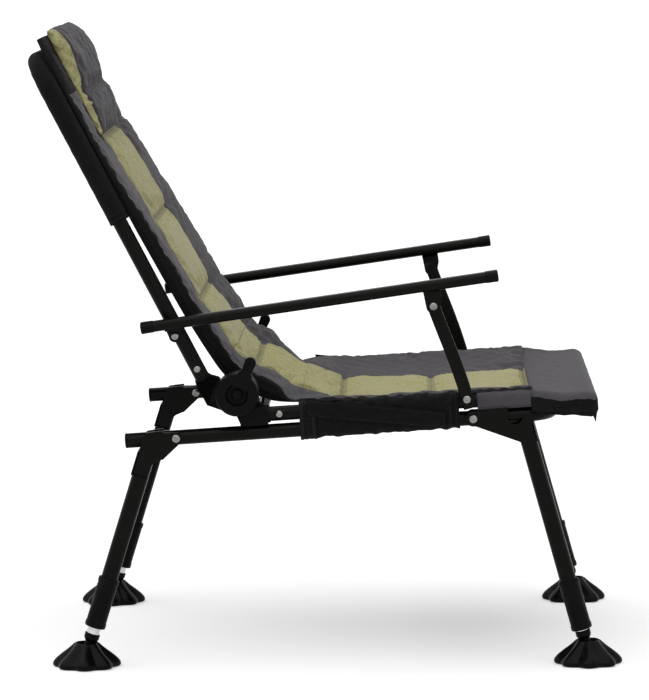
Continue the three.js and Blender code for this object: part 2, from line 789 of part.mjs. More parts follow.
function armCap(end) {
  const wall = armCapWall;
  const bore = tubeWall + seatGap;
  const shell = ovalBar(armHalfWidth + wall, armHalfHeight + wall, seatGap, wall * 3);
  const tip = ovalBar(armHalfWidth - wall, armHalfHeight - wall, wall * 2, wall * 4);
  const plug = ovalBar(armHalfWidth - bore, armHalfHeight - bore, -armCapLength, wall * 2);
  const cap = join(shell, tip, plug);
  if (end === 'rear') cap.rotateZ(Math.PI);
  return cap;
}

// Strut: a flat oval bar with a slight bow, its lower pivot at the origin and its top along Z
function strut(length) {
  const path = [];
  const count = 10;
  for (let k = 0; k <= count; k += 1) {
    const share = k / count;
    const bow = strutBow * Math.sin(Math.PI * share) * (1 - share);
    path.push([bow, -strutHalfWidth * 1.5 + (length + strutHalfWidth * 2.3) * share]);
  }
  const outline = new THREE.Shape();
  outline.moveTo(path[0][0] + strutHalfWidth, path[0][1]);
  for (const [x, z] of path) outline.lineTo(x + strutHalfWidth, z);
  for (const [x, z] of path.reverse()) outline.lineTo(x - strutHalfWidth, z);
  outline.closePath();
  const bar = plate(outline, -strutHalfThick, strutHalfThick);
  const shoulder = length - strutHalfWidth * 0.75;
  const top = rodY(strutHalfWidth * 1.6, -strutHalfThick, strutHalfThick, 0, shoulder, 16);
  const trim = plate(outline, -strutHalfThick - cutOver, strutHalfThick + cutOver);
  const round = common(trim, top);
  const straight = cut(bar, blockFrom(
    new THREE.Vector3(-3 * strutHalfWidth, -strutHalfWidth, shoulder),
    new THREE.Vector3(3 * strutHalfWidth, strutHalfWidth, length + 3 * strutHalfWidth),
  ));
  const hole = rodY(rivetRadius + runGap, -strutHalfThick - cutOver, strutHalfThick + cutOver, 0, 0, 10);
  return cut(join(straight, round), hole);
}

// Legs. Each is drawn upright in its own group: pivot at the origin, leg axis at x = offset.
// The cheeks straddle the rail; the web closes the channel on the outer face of the leg.
function rearCheekShape() {
  const axis = -rearOffset;
  const edge = axis - legRadius;
  const eye = pivotHeadRadius * 1.55;
  const shape = new THREE.Shape();
  shape.moveTo(edge, -2.2 * rearLegTop);
  shape.lineTo(edge, -0.45 * rearLegTop);
  shape.lineTo(edge + tubeWall, -0.16 * rearLegTop);
  shape.lineTo(-0.6 * rearOffset, 0.19 * rearLegTop);
  shape.lineTo(0, eye);
  shape.absarc(0, 0, eye, Math.PI / 2, -radians(rearEyeAngle), true);
  shape.lineTo(-0.26 * rearOffset, -1.06 * rearLegTop);
  shape.lineTo(axis + legRadius, -1.42 * rearLegTop);
  shape.lineTo(axis + legRadius * 0.7, -2.2 * rearLegTop);
  shape.closePath();
  return shape;
}

function frontCheekShape() {
  const edge = frontOffset + legRadius + tubeWall;
  const eye = pivotHeadRadius * 1.9;
  const shape = new THREE.Shape();
  shape.moveTo(edge, -1.82 * frontLegTop);
  shape.lineTo(edge - legRadius * 1.7, -1.88 * frontLegTop);
  shape.lineTo(frontOffset - legRadius, -1.7 * frontLegTop);
  shape.lineTo(-0.02 * frontOffset, -eye);
  shape.absarc(0, 0, eye, -Math.PI / 2, radians(frontEyeAngle), true);
  shape.lineTo(0.76 * frontOffset, 0.09 * frontLegTop);
  shape.lineTo(0.69 * frontOffset, -0.5 * frontLegTop);
  shape.quadraticCurveTo(
    0.71 * frontOffset, -0.82 * frontLegTop, 0.85 * frontOffset, -0.82 * frontLegTop,
  );
  shape.quadraticCurveTo(
    1.03 * frontOffset, -0.82 * frontLegTop, 1.05 * frontOffset, -0.45 * frontLegTop,
  );
  shape.lineTo(edge - tubeWall, -0.42 * frontLegTop);
  shape.lineTo(edge, -0.78 * frontLegTop);
  shape.closePath();
  return shape;
}

function legTube(spec) {
  const { offset, top, end, cheek, webFrom, webTo } = spec;
  const tube = turned([
    [0, -top], [legRadius, -top], [legRadius, -end], [legBore, -end],
    [legBore, -top - legTopWall], [0, -top - legTopWall],
  ]).translate(offset, 0, 0);
  const outer = legCheekInner + cheekWall;
  const shape = cheek();
  const outward = Math.sign(offset);
  const webNear = offset + outward * (legRadius - tubeWall);
  const webFar = offset + outward * (legRadius + tubeWall);
  const web = blockFrom(
    new THREE.Vector3(Math.min(webNear, webFar), -outer, -webTo),
    new THREE.Vector3(Math.max(webNear, webFar), outer, -webFrom),
  );
  const channel = join(plate(shape, -outer, -legCheekInner), plate(shape, legCheekInner, outer), web);
  const bore = turned([
    [0, -top - legTopWall], [legBore, -top - legTopWall], [legBore, -end - cutOver], [0, -end - cutOver],
  ]).translate(offset, 0, 0);
  const hole = rodY(pivotRadius + runGap, -outer - cutOver, outer + cutOver);
  return cut(join(tube, channel), bore, hole);
}

// Lock sleeve: a collar on the end of the leg tube with an inward lip round the inner tube
function lockSleeve() {
  const lipBore = innerRadius + runGap;
  return turned([
    [sleeveBore, sleeveOverLeg], [sleeveRadius - sleeveRim / 3, sleeveOverLeg],
    [sleeveRadius, sleeveOverLeg - sleeveRim], [sleeveRadius, sleeveOverLeg - sleeveLength],
    [lipBore, sleeveOverLeg - sleeveLength], [lipBore, -sleeveTravel - runGap],
    [sleeveBore, -sleeveTravel - runGap], [sleeveBore, sleeveOverLeg],
  ], 14);
}

// Inner tube: origin at its lower end
function innerTube(length) {
  const bore = innerRadius - innerWall;
  return turned([
    [bore, 0], [innerRadius, 0], [innerRadius, length], [bore, length], [bore, 0],
  ]);
}

// Neck: a plug in the inner tube, a collar, a waist and an eye for the ankle rivet
function footNeck() {
  const plug = innerRadius - innerWall - seatGap;
  const body = turned([
    [0, neckPlug], [plug, neckPlug], [plug, -seatGap], [collarRadius, -seatGap],
    [collarRadius, -collarHeight * 0.62], [neckRadius, -collarHeight],
    [neckRadius, -collarHeight - neckLength], [0, -collarHeight - neckLength],
  ], 12);
  const centre = -collarHeight - neckLength;
  const eye = rodY(ankleEye, -neckRadius * 0.8, neckRadius * 0.8, 0, centre);
  const hole = rodY(anklePin + runGap, -neckRadius - cutOver, neckRadius + cutOver, 0, centre, 8);
  return cut(join(body, eye), hole);
}

// Mud foot: a pleated dome with eight lobes, flat underneath, on a cross rivet.
// Origin at the ankle; the ground is at -ankleHeight.
function mudFoot() {
  const ground = -ankleHeight;
  const lobes = 8;
  const profile = [
    [0, ground + footHollow, 0], [footSole - footHollow, ground + footHollow, 0.6], [footSole, ground, 1],
    [footRadius * 0.9, ground, 1.6], [footRadius, ground + footRimHeight * 0.55, 2],
    [footRadius * 0.965, ground + footRimHeight, 2], [footRadius * 0.7, ground + footHeight * 0.56, 1.2],
    [footMouth + socketWall, ground + footHeight, 0.2],
    [footMouth, ground + footHeight, 0], [footWell, ground + footWellFloor + footHollow, 0],
    [0, ground + footWellFloor, 0],
  ];
  const count = 3 * lobes;
  const positions = [];
  const index = [];
  for (const [radius, height, pleat] of profile) {
    for (let k = 0; k < count; k += 1) {
      const angle = (2 * Math.PI * (k + 0.5)) / count;
      const wave = Math.cos(lobes * angle);
      const r = radius ? radius + footLobe * 0.5 * pleat * (wave - 1) : 0;
      positions.push(r * Math.cos(angle), r * Math.sin(angle), height);
    }
  }
  for (let i = 0; i < profile.length - 1; i += 1) {
    for (let k = 0; k < count; k += 1) {
      const a = i * count + k;
      const b = i * count + ((k + 1) % count);
      index.push(a, b, b + count, a, b + count, a + count);
    }
  }
  const dome = new THREE.BufferGeometry();
  dome.setAttribute('position', new THREE.Float32BufferAttribute(positions, 3));
  dome.setIndex(index);
  const reach = footRadius * 0.48;
  const pin = headedPin(anklePin, -reach, reach, screwHeadRadius * 0.8, screwHeadHeight, true);
  return join(weld(dome), pin);
}

function addLeg(spec, end, side, sign) {
  const { offset, top, stop, splay, pivotReach, webFrom, webTo, cheek } = spec;
  const pivotX = pivotReach * Math.cos(rake);
  const pivotZ = pivotHeight + pivotReach * Math.sin(rake);
  const leg = new THREE.Group();
  leg.position.set(pivotX, sign * halfTrack, pivotZ);
  leg.rotation.y = radians(-Math.sign(offset) * splay);
  const tilt = leg.rotation.y;
  const foot = pivotZ - offset * Math.sin(tilt);
  const ankle = (foot - ankleHeight) / Math.cos(tilt);
  const tubeEnd = ankle - stop;
  const collarAt = ankle - neckLength - collarHeight;
  const sleeveEnd = tubeEnd + sleeveLength - sleeveOverLeg;
  const innerLength = collarAt - sleeveEnd + innerHidden;
  const tag = `${end}_${side}`;
  leg.add(named(`leg_tube_${tag}`, legTube({ offset, top, end: tubeEnd, cheek, webFrom, webTo }), blackTube));
  const sleeve = named(`lock_sleeve_${tag}`, lockSleeve(), blackPlastic);
  sleeve.position.set(offset, 0, -tubeEnd);
  leg.add(sleeve);
  const tube = named(`inner_tube_${tag}`, innerTube(innerLength), innerSilver);
  tube.position.set(offset, 0, -collarAt);
  leg.add(tube);
  const neck = named(`foot_neck_${tag}`, footNeck(), blackPlastic);
  neck.position.set(offset, 0, -collarAt);
  leg.add(neck);
  chair.add(leg);
  const mud = named(`mud_foot_${tag}`, mudFoot(), blackPlastic);
  const ankleX = pivotX + offset * Math.cos(tilt) - ankle * Math.sin(tilt);
  mud.position.set(ankleX, sign * halfTrack, ankleHeight);
  chair.add(mud);
  const span = legCheekInner + cheekWall + seatGap;
  const rivet = headedPin(pivotRadius, -span, span, pivotHeadRadius, pivotHeadHeight, true);
  const pin = named(`leg_rivet_${tag}`, rivet, brightSteel);
  pin.position.set(pivotReach, sign * halfTrack, 0);
  raked.add(pin);
}

// Cloth: sleeves round the tubes, pads and the pillow
function clothSleeve(stations) {
  const inner = tubeRadius + clothGap;
  return bentTube(stations, inner + clothWall, inner);
}

// A wrap round the rail and the seat tube together
function sideWrap() {
  const loop = (radius) => {
    const shape = new THREE.Shape();
    shape.absarc(0, 0, radius, Math.PI, 2 * Math.PI, false);
    shape.absarc(0, seatRise, radius, 0, Math.PI, false);
    return shape;
  };
  const inner = tubeRadius + clothGap;
  const shape = loop(inner + clothWall);
  shape.holes.push(loop(inner));
  const options = { depth: wrapEnd - wrapStart, bevelEnabled: false, curveSegments: 5 };
  const wrap = new THREE.ExtrudeGeometry(shape, options);
  wrap.rotateX(Math.PI / 2);
  wrap.rotateZ(Math.PI / 2);
  wrap.translate(wrapStart, 0, 0);
  return weld(wrap);
}

// Crown between two seams: 0 at a seam, 1 in the middle of a channel
function channelCrown(place, seams) {
  for (let i = 0; i < seams.length - 1; i += 1) {
    const [from, to] = [seams[i], seams[i + 1]];
    if (place < from || place > to) continue;
    const share = (2 * (place - from)) / (to - from) - 1;
    return Math.sqrt(Math.max(0, 1 - share ** 4));
  }
  return 0;
}

// Height of a pad face over its base across the width: a crowned panel between two bolsters
function acrossPad(y, crown, bolster, half, panel = panelHalf) {
  const inside = Math.abs(y) / panel;
  if (inside < 1) return crown * Math.sqrt(1 - inside ** 4);
  const share = (Math.abs(y) - panel) / (half - panel);
  return bolster * Math.sin(Math.PI * share ** 0.85);
}

// Stations along a pad, close together at the ends and at each seam
function padStations(stops) {
  const stations = [];
  for (let i = 0; i < stops.length - 1; i += 1) {
    for (const share of channelShares) stations.push(stops[i] + (stops[i + 1] - stops[i]) * share);
  }
  return [...stations, stops.at(-1)];
}

// Back pad in the back group: X up the tube, -Z ahead of it
const coverFront = tubeRadius + clothGap + clothWall + runGap;

function backHalfWidth(share) {
  const low = Math.max(0, 1 - (share * padLength) / padRound);
  const top = Math.max(0, 1 - ((1 - share) * padLength) / padRound);
  return padSide - padNeck * low ** 2 - padShoulder * top ** 2;
}

const padLength = padTop - padLow;
const underPillowShare = (pillowLow - pillowSeam - padLow) / padLength;
const backSeams = [...backSeamShares, underPillowShare];

function backFacePoint(share, across) {
  const half = backHalfWidth(share);
  const y = across * half;
  const open = share < underPillowShare;
  const face = open ? along(backFaceShares, share) : backFaceShares.at(-1)[1];
  const crown = crownHeight * channelCrown(share, backSeams);
  const lift = open
    ? acrossPad(y, crown, borderCrown, half)
    : acrossPad(y, 0, borderCrown, half, 0.8 * half);
  const edge = Math.abs(across) === 1 ? borderCrown : 0;
  const ahead = padDepth * face + lift - edge;
  return [padLow + padLength * share, y, backOffset - ahead];
}

function backRearPoint(share, across) {
  const ahead = Math.max(coverFront, padDepth * along(backRearShares, share));
  return [padLow + padLength * share, across * backHalfWidth(share), backOffset - ahead];
}

function gridSlab(stations, top, bottom) {
  const count = stations.length - 1;
  const across = acrossShares.length - 1;
  const at = (face) => (u, v) => face(stations[Math.round(u * count)], acrossShares[Math.round(v * across)]);
  return slab(count, across, at(top), at(bottom));
}

function backPad() {
  const stations = padStations([0, ...backSeams.slice(1), 1]);
  return gridSlab(stations, backFacePoint, backRearPoint);
}

// Pillow: a wedge that is thick at the top of the back and thin at its lower edge
function headPillow() {
  const rear = padDepth * backFaceShares.at(-1)[1] + 2 * runGap;
  const count = pillowPlaceShares.length - 1;
  const across = pillowSideShares.length - 1;
  const at = (u, v) => [pillowPlaceShares[Math.round(u * count)], pillowSideShares[Math.round(v * across)]];
  const puff = (share) => {
    const rise = 0.3 + 0.7 * Math.min(1, share / 0.8);
    const seam = 1 - 0.28 * Math.exp(-(((share - pillowSeamShare) / 0.05) ** 2));
    const ends = Math.sqrt(Math.max(0, 1 - Math.abs(2 * share - 1) ** 7));
    return rise * seam * ends;
  };
  const top = (u, v) => {
    const [share, side] = at(u, v);
    const edge = Math.sqrt(Math.max(0, 1 - Math.abs(side) ** 6));
    const ahead = rear + clothGap + pillowDepth * puff(share) * edge;
    return [pillowLow + pillowLength * share, side * pillowHalf, backOffset - ahead];
  };
  const bottom = (u, v) => {
    const [share, side] = at(u, v);
    return [pillowLow + pillowLength * share, side * pillowHalf, backOffset - rear];
  };
  return slab(count, across, top, bottom);
}

// Seat pad in the raked group: a sling that sags between the tubes, with crowned channels,
// and a front pocket that goes over the front bar and down before it
const seatLength = seatFrontReach - seatPadStart;
const overTube = tubeRadius + clothGap;
const pocketShare = (shoeStart - seatPadStart) / seatLength;
const seatSeams = [...seatSeamShares, pocketShare - pocketSeam / seatLength];

function seatTubeRise(reach) {
  const share = THREE.MathUtils.clamp((reach - seatDropStart) / (seatDropEnd - seatDropStart), 0, 1);
  return seatRise + (seatFrontRise - seatRise) * share;
}

function isShoe(share) {
  return seatPadStart + seatLength * share >= shoeStart;
}

function seatBase(share, across) {
  const reach = seatPadStart + seatLength * share;
  const half = isShoe(share) ? overTube + shoeWall + halfTrack : seatPadHalf;
  const cloth = isShoe(share) ? 0 : clothWall + clothGap;
  const middle = (seatRise + tubeRadius) * along(seatSagShares, share);
  const crest = seatTubeRise(reach) + overTube + cloth;
  const y = across * half;
  const rise = Math.min(1, Math.abs(y) / (halfTrack - tubeRadius)) ** 3.2;
  return [reach, y, middle + (crest - middle) * rise];
}

// Beyond 1 a share is the quarter turn over the front bar, and beyond 2 the drop before it
function shoePoint(share, across, radius) {
  const y = across * (overTube + shoeWall + halfTrack);
  const angle = (Math.min(share, 2) - 1) * (Math.PI / 2);
  const drop = Math.max(0, share - 2) * (seatFrontRise + shoeDrop / 2);
  const reach = seatFrontReach + radius * Math.sin(angle);
  return [reach, y, seatFrontRise + radius * Math.cos(angle) - drop];
}

function seatFacePoint(share, across) {
  if (share >= 1) return shoePoint(share, across, overTube + shoeWall);
  const [reach, y, base] = seatBase(share, across);
  if (isShoe(share)) return [reach, y, base + shoeWall];
  const crown = crownHeight * channelCrown(share, seatSeams);
  return [reach, y, base + clothWall + acrossPad(y, crown, 0, seatPadHalf)];
}

function seatUnderPoint(share, across) {
  if (share >= 1) return shoePoint(share, across, overTube);
  const [reach, y, base] = seatBase(share, across);
  const fill = isShoe(share) || Math.abs(across) > 0.8 ? 0 : seatFill;
  return [reach, y, base - fill];
}

function seatPad() {
  const stations = [...padStations([0, ...seatSeams.slice(1)]), pocketShare, ...pocketShares];
  const sling = gridSlab(stations, seatFacePoint, seatUnderPoint);
  const skirtShape = new THREE.Shape();
  const top = (reach) => seatTubeRise(reach) + overTube + shoeWall / 2;
  const nose = seatFrontReach + overTube + shoeWall;
  skirtShape.moveTo(shoeStart, -shoeDrop);
  skirtShape.lineTo(shoeStart, top(shoeStart));
  skirtShape.lineTo(seatDropEnd, top(seatDropEnd));
  skirtShape.lineTo(seatFrontReach, top(seatDropEnd));
  skirtShape.absarc(seatFrontReach, seatFrontRise, overTube + shoeWall, Math.PI / 2, 0, true);
  skirtShape.lineTo(nose, -shoeDrop / 2);
  skirtShape.closePath();
  const skirts = Object.values(sides).map((side) => {
    const from = side * (halfTrack + overTube);
    const to = side * (halfTrack + overTube + shoeWall);
    return plate(skirtShape, Math.min(from, to), Math.max(from, to), 3);
  });
  return join(sling, ...skirts);
}

// Lumbar pad round the inside of the hinge: it joins the ends of the back and seat pads
function lumbarPad() {
  const scaled = (across) => (across * lumbarHalf) / backHalfWidth(0);
  const gap = runGap / padLength;
  const toChair = (group, point) => new THREE.Vector3(...point).applyMatrix4(group.matrixWorld).toArray();
  const backEnd = (face) => (across) => toChair(back, face(-gap, scaled(across)));
  const seatEnd = (face) => (across) => {
    const share = (across * lumbarHalf) / seatPadHalf;
    return toChair(raked, face(-runGap / seatLength, share));
  };
  const middle = (row, side) => (across) => {
    const [x, z] = lumbarShares[row][side];
    const crown = side ? 0 : crownHeight * lumbarCrownShares[row];
    const bolster = side ? 0 : borderCrown / 2;
    const lift = acrossPad(across * lumbarHalf, crown, bolster, lumbarHalf);
    const up = Math.SQRT1_2 * lift;
    return [hingeX + x * discRadius + up, across * lumbarHalf, hingeZ + z * discRadius + up];
  };
  const rows = lumbarShares.map((_, row) => [middle(row, 0), middle(row, 1)]);
  const all = [
    [backEnd(backFacePoint), backEnd(backRearPoint)],
    ...rows,
    [seatEnd(seatFacePoint), seatEnd(seatUnderPoint)],
  ];
  const stations = all.map((_, row) => row);
  const face = (row, across) => all[row][0](across);
  const under = (row, across) => all[row][1](across);
  return gridSlab(stations, face, under);
}

// Assembly of the frames
raked.add(named('lower_frame', lowerFrame(), blackTube));
raked.add(named('seat_frame', seatFrame(), blackTube));
back.add(named('back_frame', backFrame(), blackTube));

const backTilt = radians(backLeanAngle);
const hingeDrop = hingeRise - seatRise;

for (const [side, sign] of Object.entries(sides)) {
  const plug = named(`frame_plug_${side}`, framePlug(), blackPlastic);
  plug.position.set(-railRearReach - seatGap, sign * halfTrack, 0);
  raked.add(plug);

  const seatHalf = named(
    `seat_hinge_socket_${side}`,
    hingeHalf(seatHalfOutline(hingeDrop), -hingeDrop, sign, -sign),
    blackPlastic,
  );
  seatHalf.position.set(hingeReach, sign * halfTrack, hingeRise);
  raked.add(seatHalf);

  const backHalf = named(
    `back_hinge_socket_${side}`,
    mirrorZ(hingeHalf(backHalfOutline(), -backOffset, sign, sign)),
    blackPlastic,
  );
  backHalf.position.set(0, sign * halfTrack, 0);
  back.add(backHalf);

  const bolt = named(`hinge_bolt_${side}`, hingeBolt(sign), brightSteel);
  bolt.position.set(hingeReach, sign * halfTrack, hingeRise);
  raked.add(bolt);

  const turnKnob = knob();
  if (sign > 0) turnKnob.scale(1, -1, 1);
  const grip = named(`recline_knob_${side}`, weld(turnKnob), blackPlastic);
  grip.position.set(hingeX, sign * (halfTrack + plateHalf + seatGap), hingeZ);
  grip.rotation.y = -radians(handleAngle);
  chair.add(grip);

  const screw = () => {
    const reach = tubeRadius + seatGap;
    const pin = headedPin(screwRadius, seatGap, reach, screwHeadRadius, screwHeadHeight, false);
    if (sign < 0) pin.rotateZ(Math.PI);
    return pin;
  };
  const seatScrew = named(`seat_socket_screw_${side}`, screw(), brightSteel);
  seatScrew.position.set(hingeReach + tubeMouth + screwInset, sign * halfTrack, seatRise);
  raked.add(seatScrew);
  const backScrew = named(`back_socket_screw_${side}`, screw(), brightSteel);
  backScrew.position.set(tubeMouth + screwInset, sign * halfTrack, backOffset);
  back.add(backScrew);
}

function mirrorZ(geometry) {
  return weld(geometry.clone().scale(1, 1, -1));
}

// Arms, struts and their rivets
const backDirection = new THREE.Vector2(Math.cos(backTilt), Math.sin(backTilt));
const backward = new THREE.Vector2(-Math.sin(backTilt), Math.cos(backTilt));
const armPivot = new THREE.Vector2(hingeX, hingeZ)
  .addScaledVector(backDirection, armPivotBack)
  .addScaledVector(backward, backOffset + armPivotAft);
const strutFoot = new THREE.Vector2(
  strutReach * Math.cos(rake) - strutRise * Math.sin(rake),
  pivotHeight + strutReach * Math.sin(rake) + strutRise * Math.cos(rake),
);
const slope = radians(armSlopeAngle);
const armTopPivot = new THREE.Vector2(
  armPivot.x + armFrontPivot * Math.cos(slope) - (armDropRear - armDropFront) * Math.sin(slope),
  armPivot.y + armFrontPivot * Math.sin(slope) + (armDropRear - armDropFront) * Math.cos(slope),
);
const strutRun = armTopPivot.clone().sub(strutFoot);

for (const [side, sign] of Object.entries(sides)) {
  const group = new THREE.Group();
  group.position.set(armPivot.x, sign * armLine, armPivot.y);
  group.rotation.y = -slope;
  group.add(named(`arm_${side}`, arm(sign), blackTube));
  for (const end of ['rear', 'front']) {
    const cap = named(`arm_cap_${end}_${side}`, armCap(end), blackPlastic);
    cap.position.set(end === 'rear' ? -armRear : armFront, 0, armDropRear);
    group.add(cap);
  }
  chair.add(group);

  const bar = named(`arm_strut_${side}`, strut(strutRun.length()), blackTube);
  bar.position.set(strutFoot.x, sign * strutLine, strutFoot.y);
  bar.rotation.y = Math.atan2(strutRun.x, strutRun.y);
  chair.add(bar);

  const place = (pin) => (sign < 0 ? pin.rotateZ(Math.PI) : pin);
  const strutFrom = tubeRadius / 2;
  const strutTo = strutLine + strutHalfThick + seatGap - halfTrack;
  const strutPin = headedPin(rivetRadius, strutFrom, strutTo, rivetHeadRadius, rivetHeadHeight, false);
  const low = named(`strut_rivet_${side}`, place(strutPin), brightSteel);
  low.position.set(strutReach, sign * halfTrack, strutRise);
  raked.add(low);

  const armTo = rearPlateLine + cheekWall + seatGap - halfTrack;
  const armPin = headedPin(rivetRadius, tubeWall, armTo, rivetHeadRadius, rivetHeadHeight, false);
  const high = named(`arm_rivet_${side}`, place(armPin), brightSteel);
  high.position.set(armPivotBack, sign * halfTrack, backOffset + armPivotAft);
  back.add(high);
}

// Legs at the four corners
const legSpecs = {
  rear: {
    offset: -rearOffset,
    top: rearLegTop,
    stop: rearLegStop,
    splay: rearSplayAngle,
    pivotReach: 0,
    cheek: rearCheekShape,
    webFrom: rearLegTop * 1.06,
    webTo: rearLegTop * 2.2,
  },
  front: {
    offset: frontOffset,
    top: frontLegTop,
    stop: frontLegStop,
    splay: frontSplayAngle,
    pivotReach: frontPivotReach,
    cheek: frontCheekShape,
    webFrom: frontLegTop * 0.95,
    webTo: frontLegTop * 1.82,
  },
};
for (const [end, spec] of Object.entries(legSpecs)) {
  for (const [side, sign] of Object.entries(sides)) addLeg(spec, end, side, sign);
}

// Cloth
chair.updateMatrixWorld(true);
back.add(named('back_sleeve', clothSleeve(backStations(backSleeveEnd)), blackCloth));
back.add(named('back_pad', backPad(), oliveCloth));
back.add(named('head_pillow', headPillow(), greyCloth));
chair.add(named('lumbar_pad', lumbarPad(), oliveCloth));
raked.add(named('seat_pad', seatPad(), oliveCloth));
for (const [side, sign] of Object.entries(sides)) {
  const wrap = named(`side_wrap_${side}`, sideWrap(), blackCloth);
  wrap.position.set(0, sign * halfTrack, 0);
  raked.add(wrap);
}

// The origin is under the middle of the bounding box
chair.updateMatrixWorld(true);
const bounds = new THREE.Box3().setFromObject(chair);
const model = new THREE.Group();
chair.position.x = -(bounds.min.x + bounds.max.x) / 2;
model.add(chair);

export default model;
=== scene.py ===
"""Dressed scene of a folding carp chair: painted tubes, moulded fittings, padded cover and studio."""

import json
import logging
import math
from collections.abc import Iterator
from contextlib import contextmanager
from dataclasses import dataclass, field
from enum import Enum

import bmesh
import bpy
import numpy as np
from mathutils import Matrix, Vector

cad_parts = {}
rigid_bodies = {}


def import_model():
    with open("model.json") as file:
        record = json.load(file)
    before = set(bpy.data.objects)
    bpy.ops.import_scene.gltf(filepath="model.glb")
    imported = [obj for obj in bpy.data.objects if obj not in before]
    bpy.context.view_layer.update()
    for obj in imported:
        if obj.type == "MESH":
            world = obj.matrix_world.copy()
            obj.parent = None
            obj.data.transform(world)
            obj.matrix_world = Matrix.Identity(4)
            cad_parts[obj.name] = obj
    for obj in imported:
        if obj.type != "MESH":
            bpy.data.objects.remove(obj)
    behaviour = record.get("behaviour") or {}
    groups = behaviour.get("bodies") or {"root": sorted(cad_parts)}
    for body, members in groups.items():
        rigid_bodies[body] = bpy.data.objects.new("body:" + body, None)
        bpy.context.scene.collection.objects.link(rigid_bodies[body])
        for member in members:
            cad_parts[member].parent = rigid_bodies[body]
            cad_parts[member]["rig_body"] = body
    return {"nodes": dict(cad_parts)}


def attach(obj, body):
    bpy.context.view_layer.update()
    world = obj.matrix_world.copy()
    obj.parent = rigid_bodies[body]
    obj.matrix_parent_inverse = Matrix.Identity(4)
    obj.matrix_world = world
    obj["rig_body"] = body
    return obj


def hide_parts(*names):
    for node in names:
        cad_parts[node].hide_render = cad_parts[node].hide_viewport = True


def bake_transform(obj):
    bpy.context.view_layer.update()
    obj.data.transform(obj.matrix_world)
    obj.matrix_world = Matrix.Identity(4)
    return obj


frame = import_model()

Array = np.ndarray
Piece = bpy.types.Object
Socket = bpy.types.NodeSocket
Material = bpy.types.Material
log = logging.getLogger("carp_chair")
MM = 0.001
SIDES = {"left": 1.0, "right": -1.0}
AHEAD, ACROSS, UP = np.eye(3)


# Frames of reference


@dataclass(frozen=True)
class Slant:
    """A sub-assembly's own frame: an origin, and a turn about the axis across the chair."""

    origin: tuple[float, float, float]
    degrees: float

    def put(self, points: Array) -> Array:
        """Local points to the chair's frame: x' = x cos + z sin, z' = z cos - x sin, then the origin.

        Args:
            points: array whose last axis is x, y, z.

        Returns:
            The same array in the chair's frame.
        """
        angle = math.radians(self.degrees)
        c, s = math.cos(angle), math.sin(angle)
        x, y, z = points[..., 0], points[..., 1], points[..., 2]
        return np.stack([x * c + z * s, y, z * c - x * s], axis=-1) + np.array(self.origin)

    def at(self, x: float, y: float, z: float) -> Array:
        """One local point in the chair's frame."""
        return self.put(np.array([x, y, z], float))


@dataclass(frozen=True)
class Layout:
    """Where the sub-assemblies stand, in metres, as the solids have them."""

    half_track: float = 0.280
    rake: float = 3.4
    lean: float = 117.2
    tube: float = 0.011
    rail: Slant = Slant((-0.219594, 0.0, 0.343), -3.4)
    back: Slant = Slant((-0.128156, 0.0, 0.409139), -117.2)
    back_offset: float = 0.0357
    back_length: float = 0.569
    back_corner: float = 0.048
    hinge_reach: float = 0.0952
    hinge_rise: float = 0.0606
    seat_rise: float = 0.026
    front_rise: float = 0.015
    drop_start: float = 0.519
    drop_run: float = 0.055
    front_bar: float = 0.612
    strut_foot: tuple[float, float] = (0.4326, 0.031)
    half_cover: float = 0.269


LAYOUT = Layout()
CHAIR = Slant((0.0, 0.0, 0.0), 0.0)


def behind(q: Array | float) -> Array | float:
    """Local z of the back frame for a depth q ahead of the back tube's axis."""
    return LAYOUT.back_offset - q


def seat_tube_height(s: Array) -> Array:
    """Height of the seat tube's axis over the lower rail's, falling evenly ahead of its bend."""
    share = np.clip((s - LAYOUT.drop_start) / LAYOUT.drop_run, 0, 1)
    return LAYOUT.seat_rise + (LAYOUT.front_rise - LAYOUT.seat_rise) * share


def travelled(points: Array) -> Array:
    """Distance from the first of a line's points to each."""
    return np.concatenate([[0], np.cumsum(np.linalg.norm(np.diff(points, axis=0), axis=1))])


# Forms


@dataclass
class Form:
    """Points and faces that become part of a mesh, with the number of the finish they take."""

    points: Array
    faces: list
    finish: int = 0

    def moved(self, slant: Slant) -> "Form":
        """The same form put into the chair's frame."""
        return Form(slant.put(self.points), self.faces, self.finish)

def grid_faces(rows: int, columns: int, round_rows: bool = False, round_columns: bool = False) -> Array:
    """Quads of a grid whose points are numbered row by row.

    Args:
        rows: number of rows.
        columns: number of columns.
        round_rows: join the last row to the first.
        round_columns: join the last column to the first.

    Returns:
        Integer array of quads.
    """
    i = np.arange(rows if round_rows else rows - 1)[:, None]
    j = np.arange(columns if round_columns else columns - 1)[None, :]
    k, m = (i + 1) % rows, (j + 1) % columns
    quads = [i * columns + j, k * columns + j, k * columns + m, i * columns + m]
    return np.stack(np.broadcast_arrays(*quads), axis=-1).reshape(-1, 4)


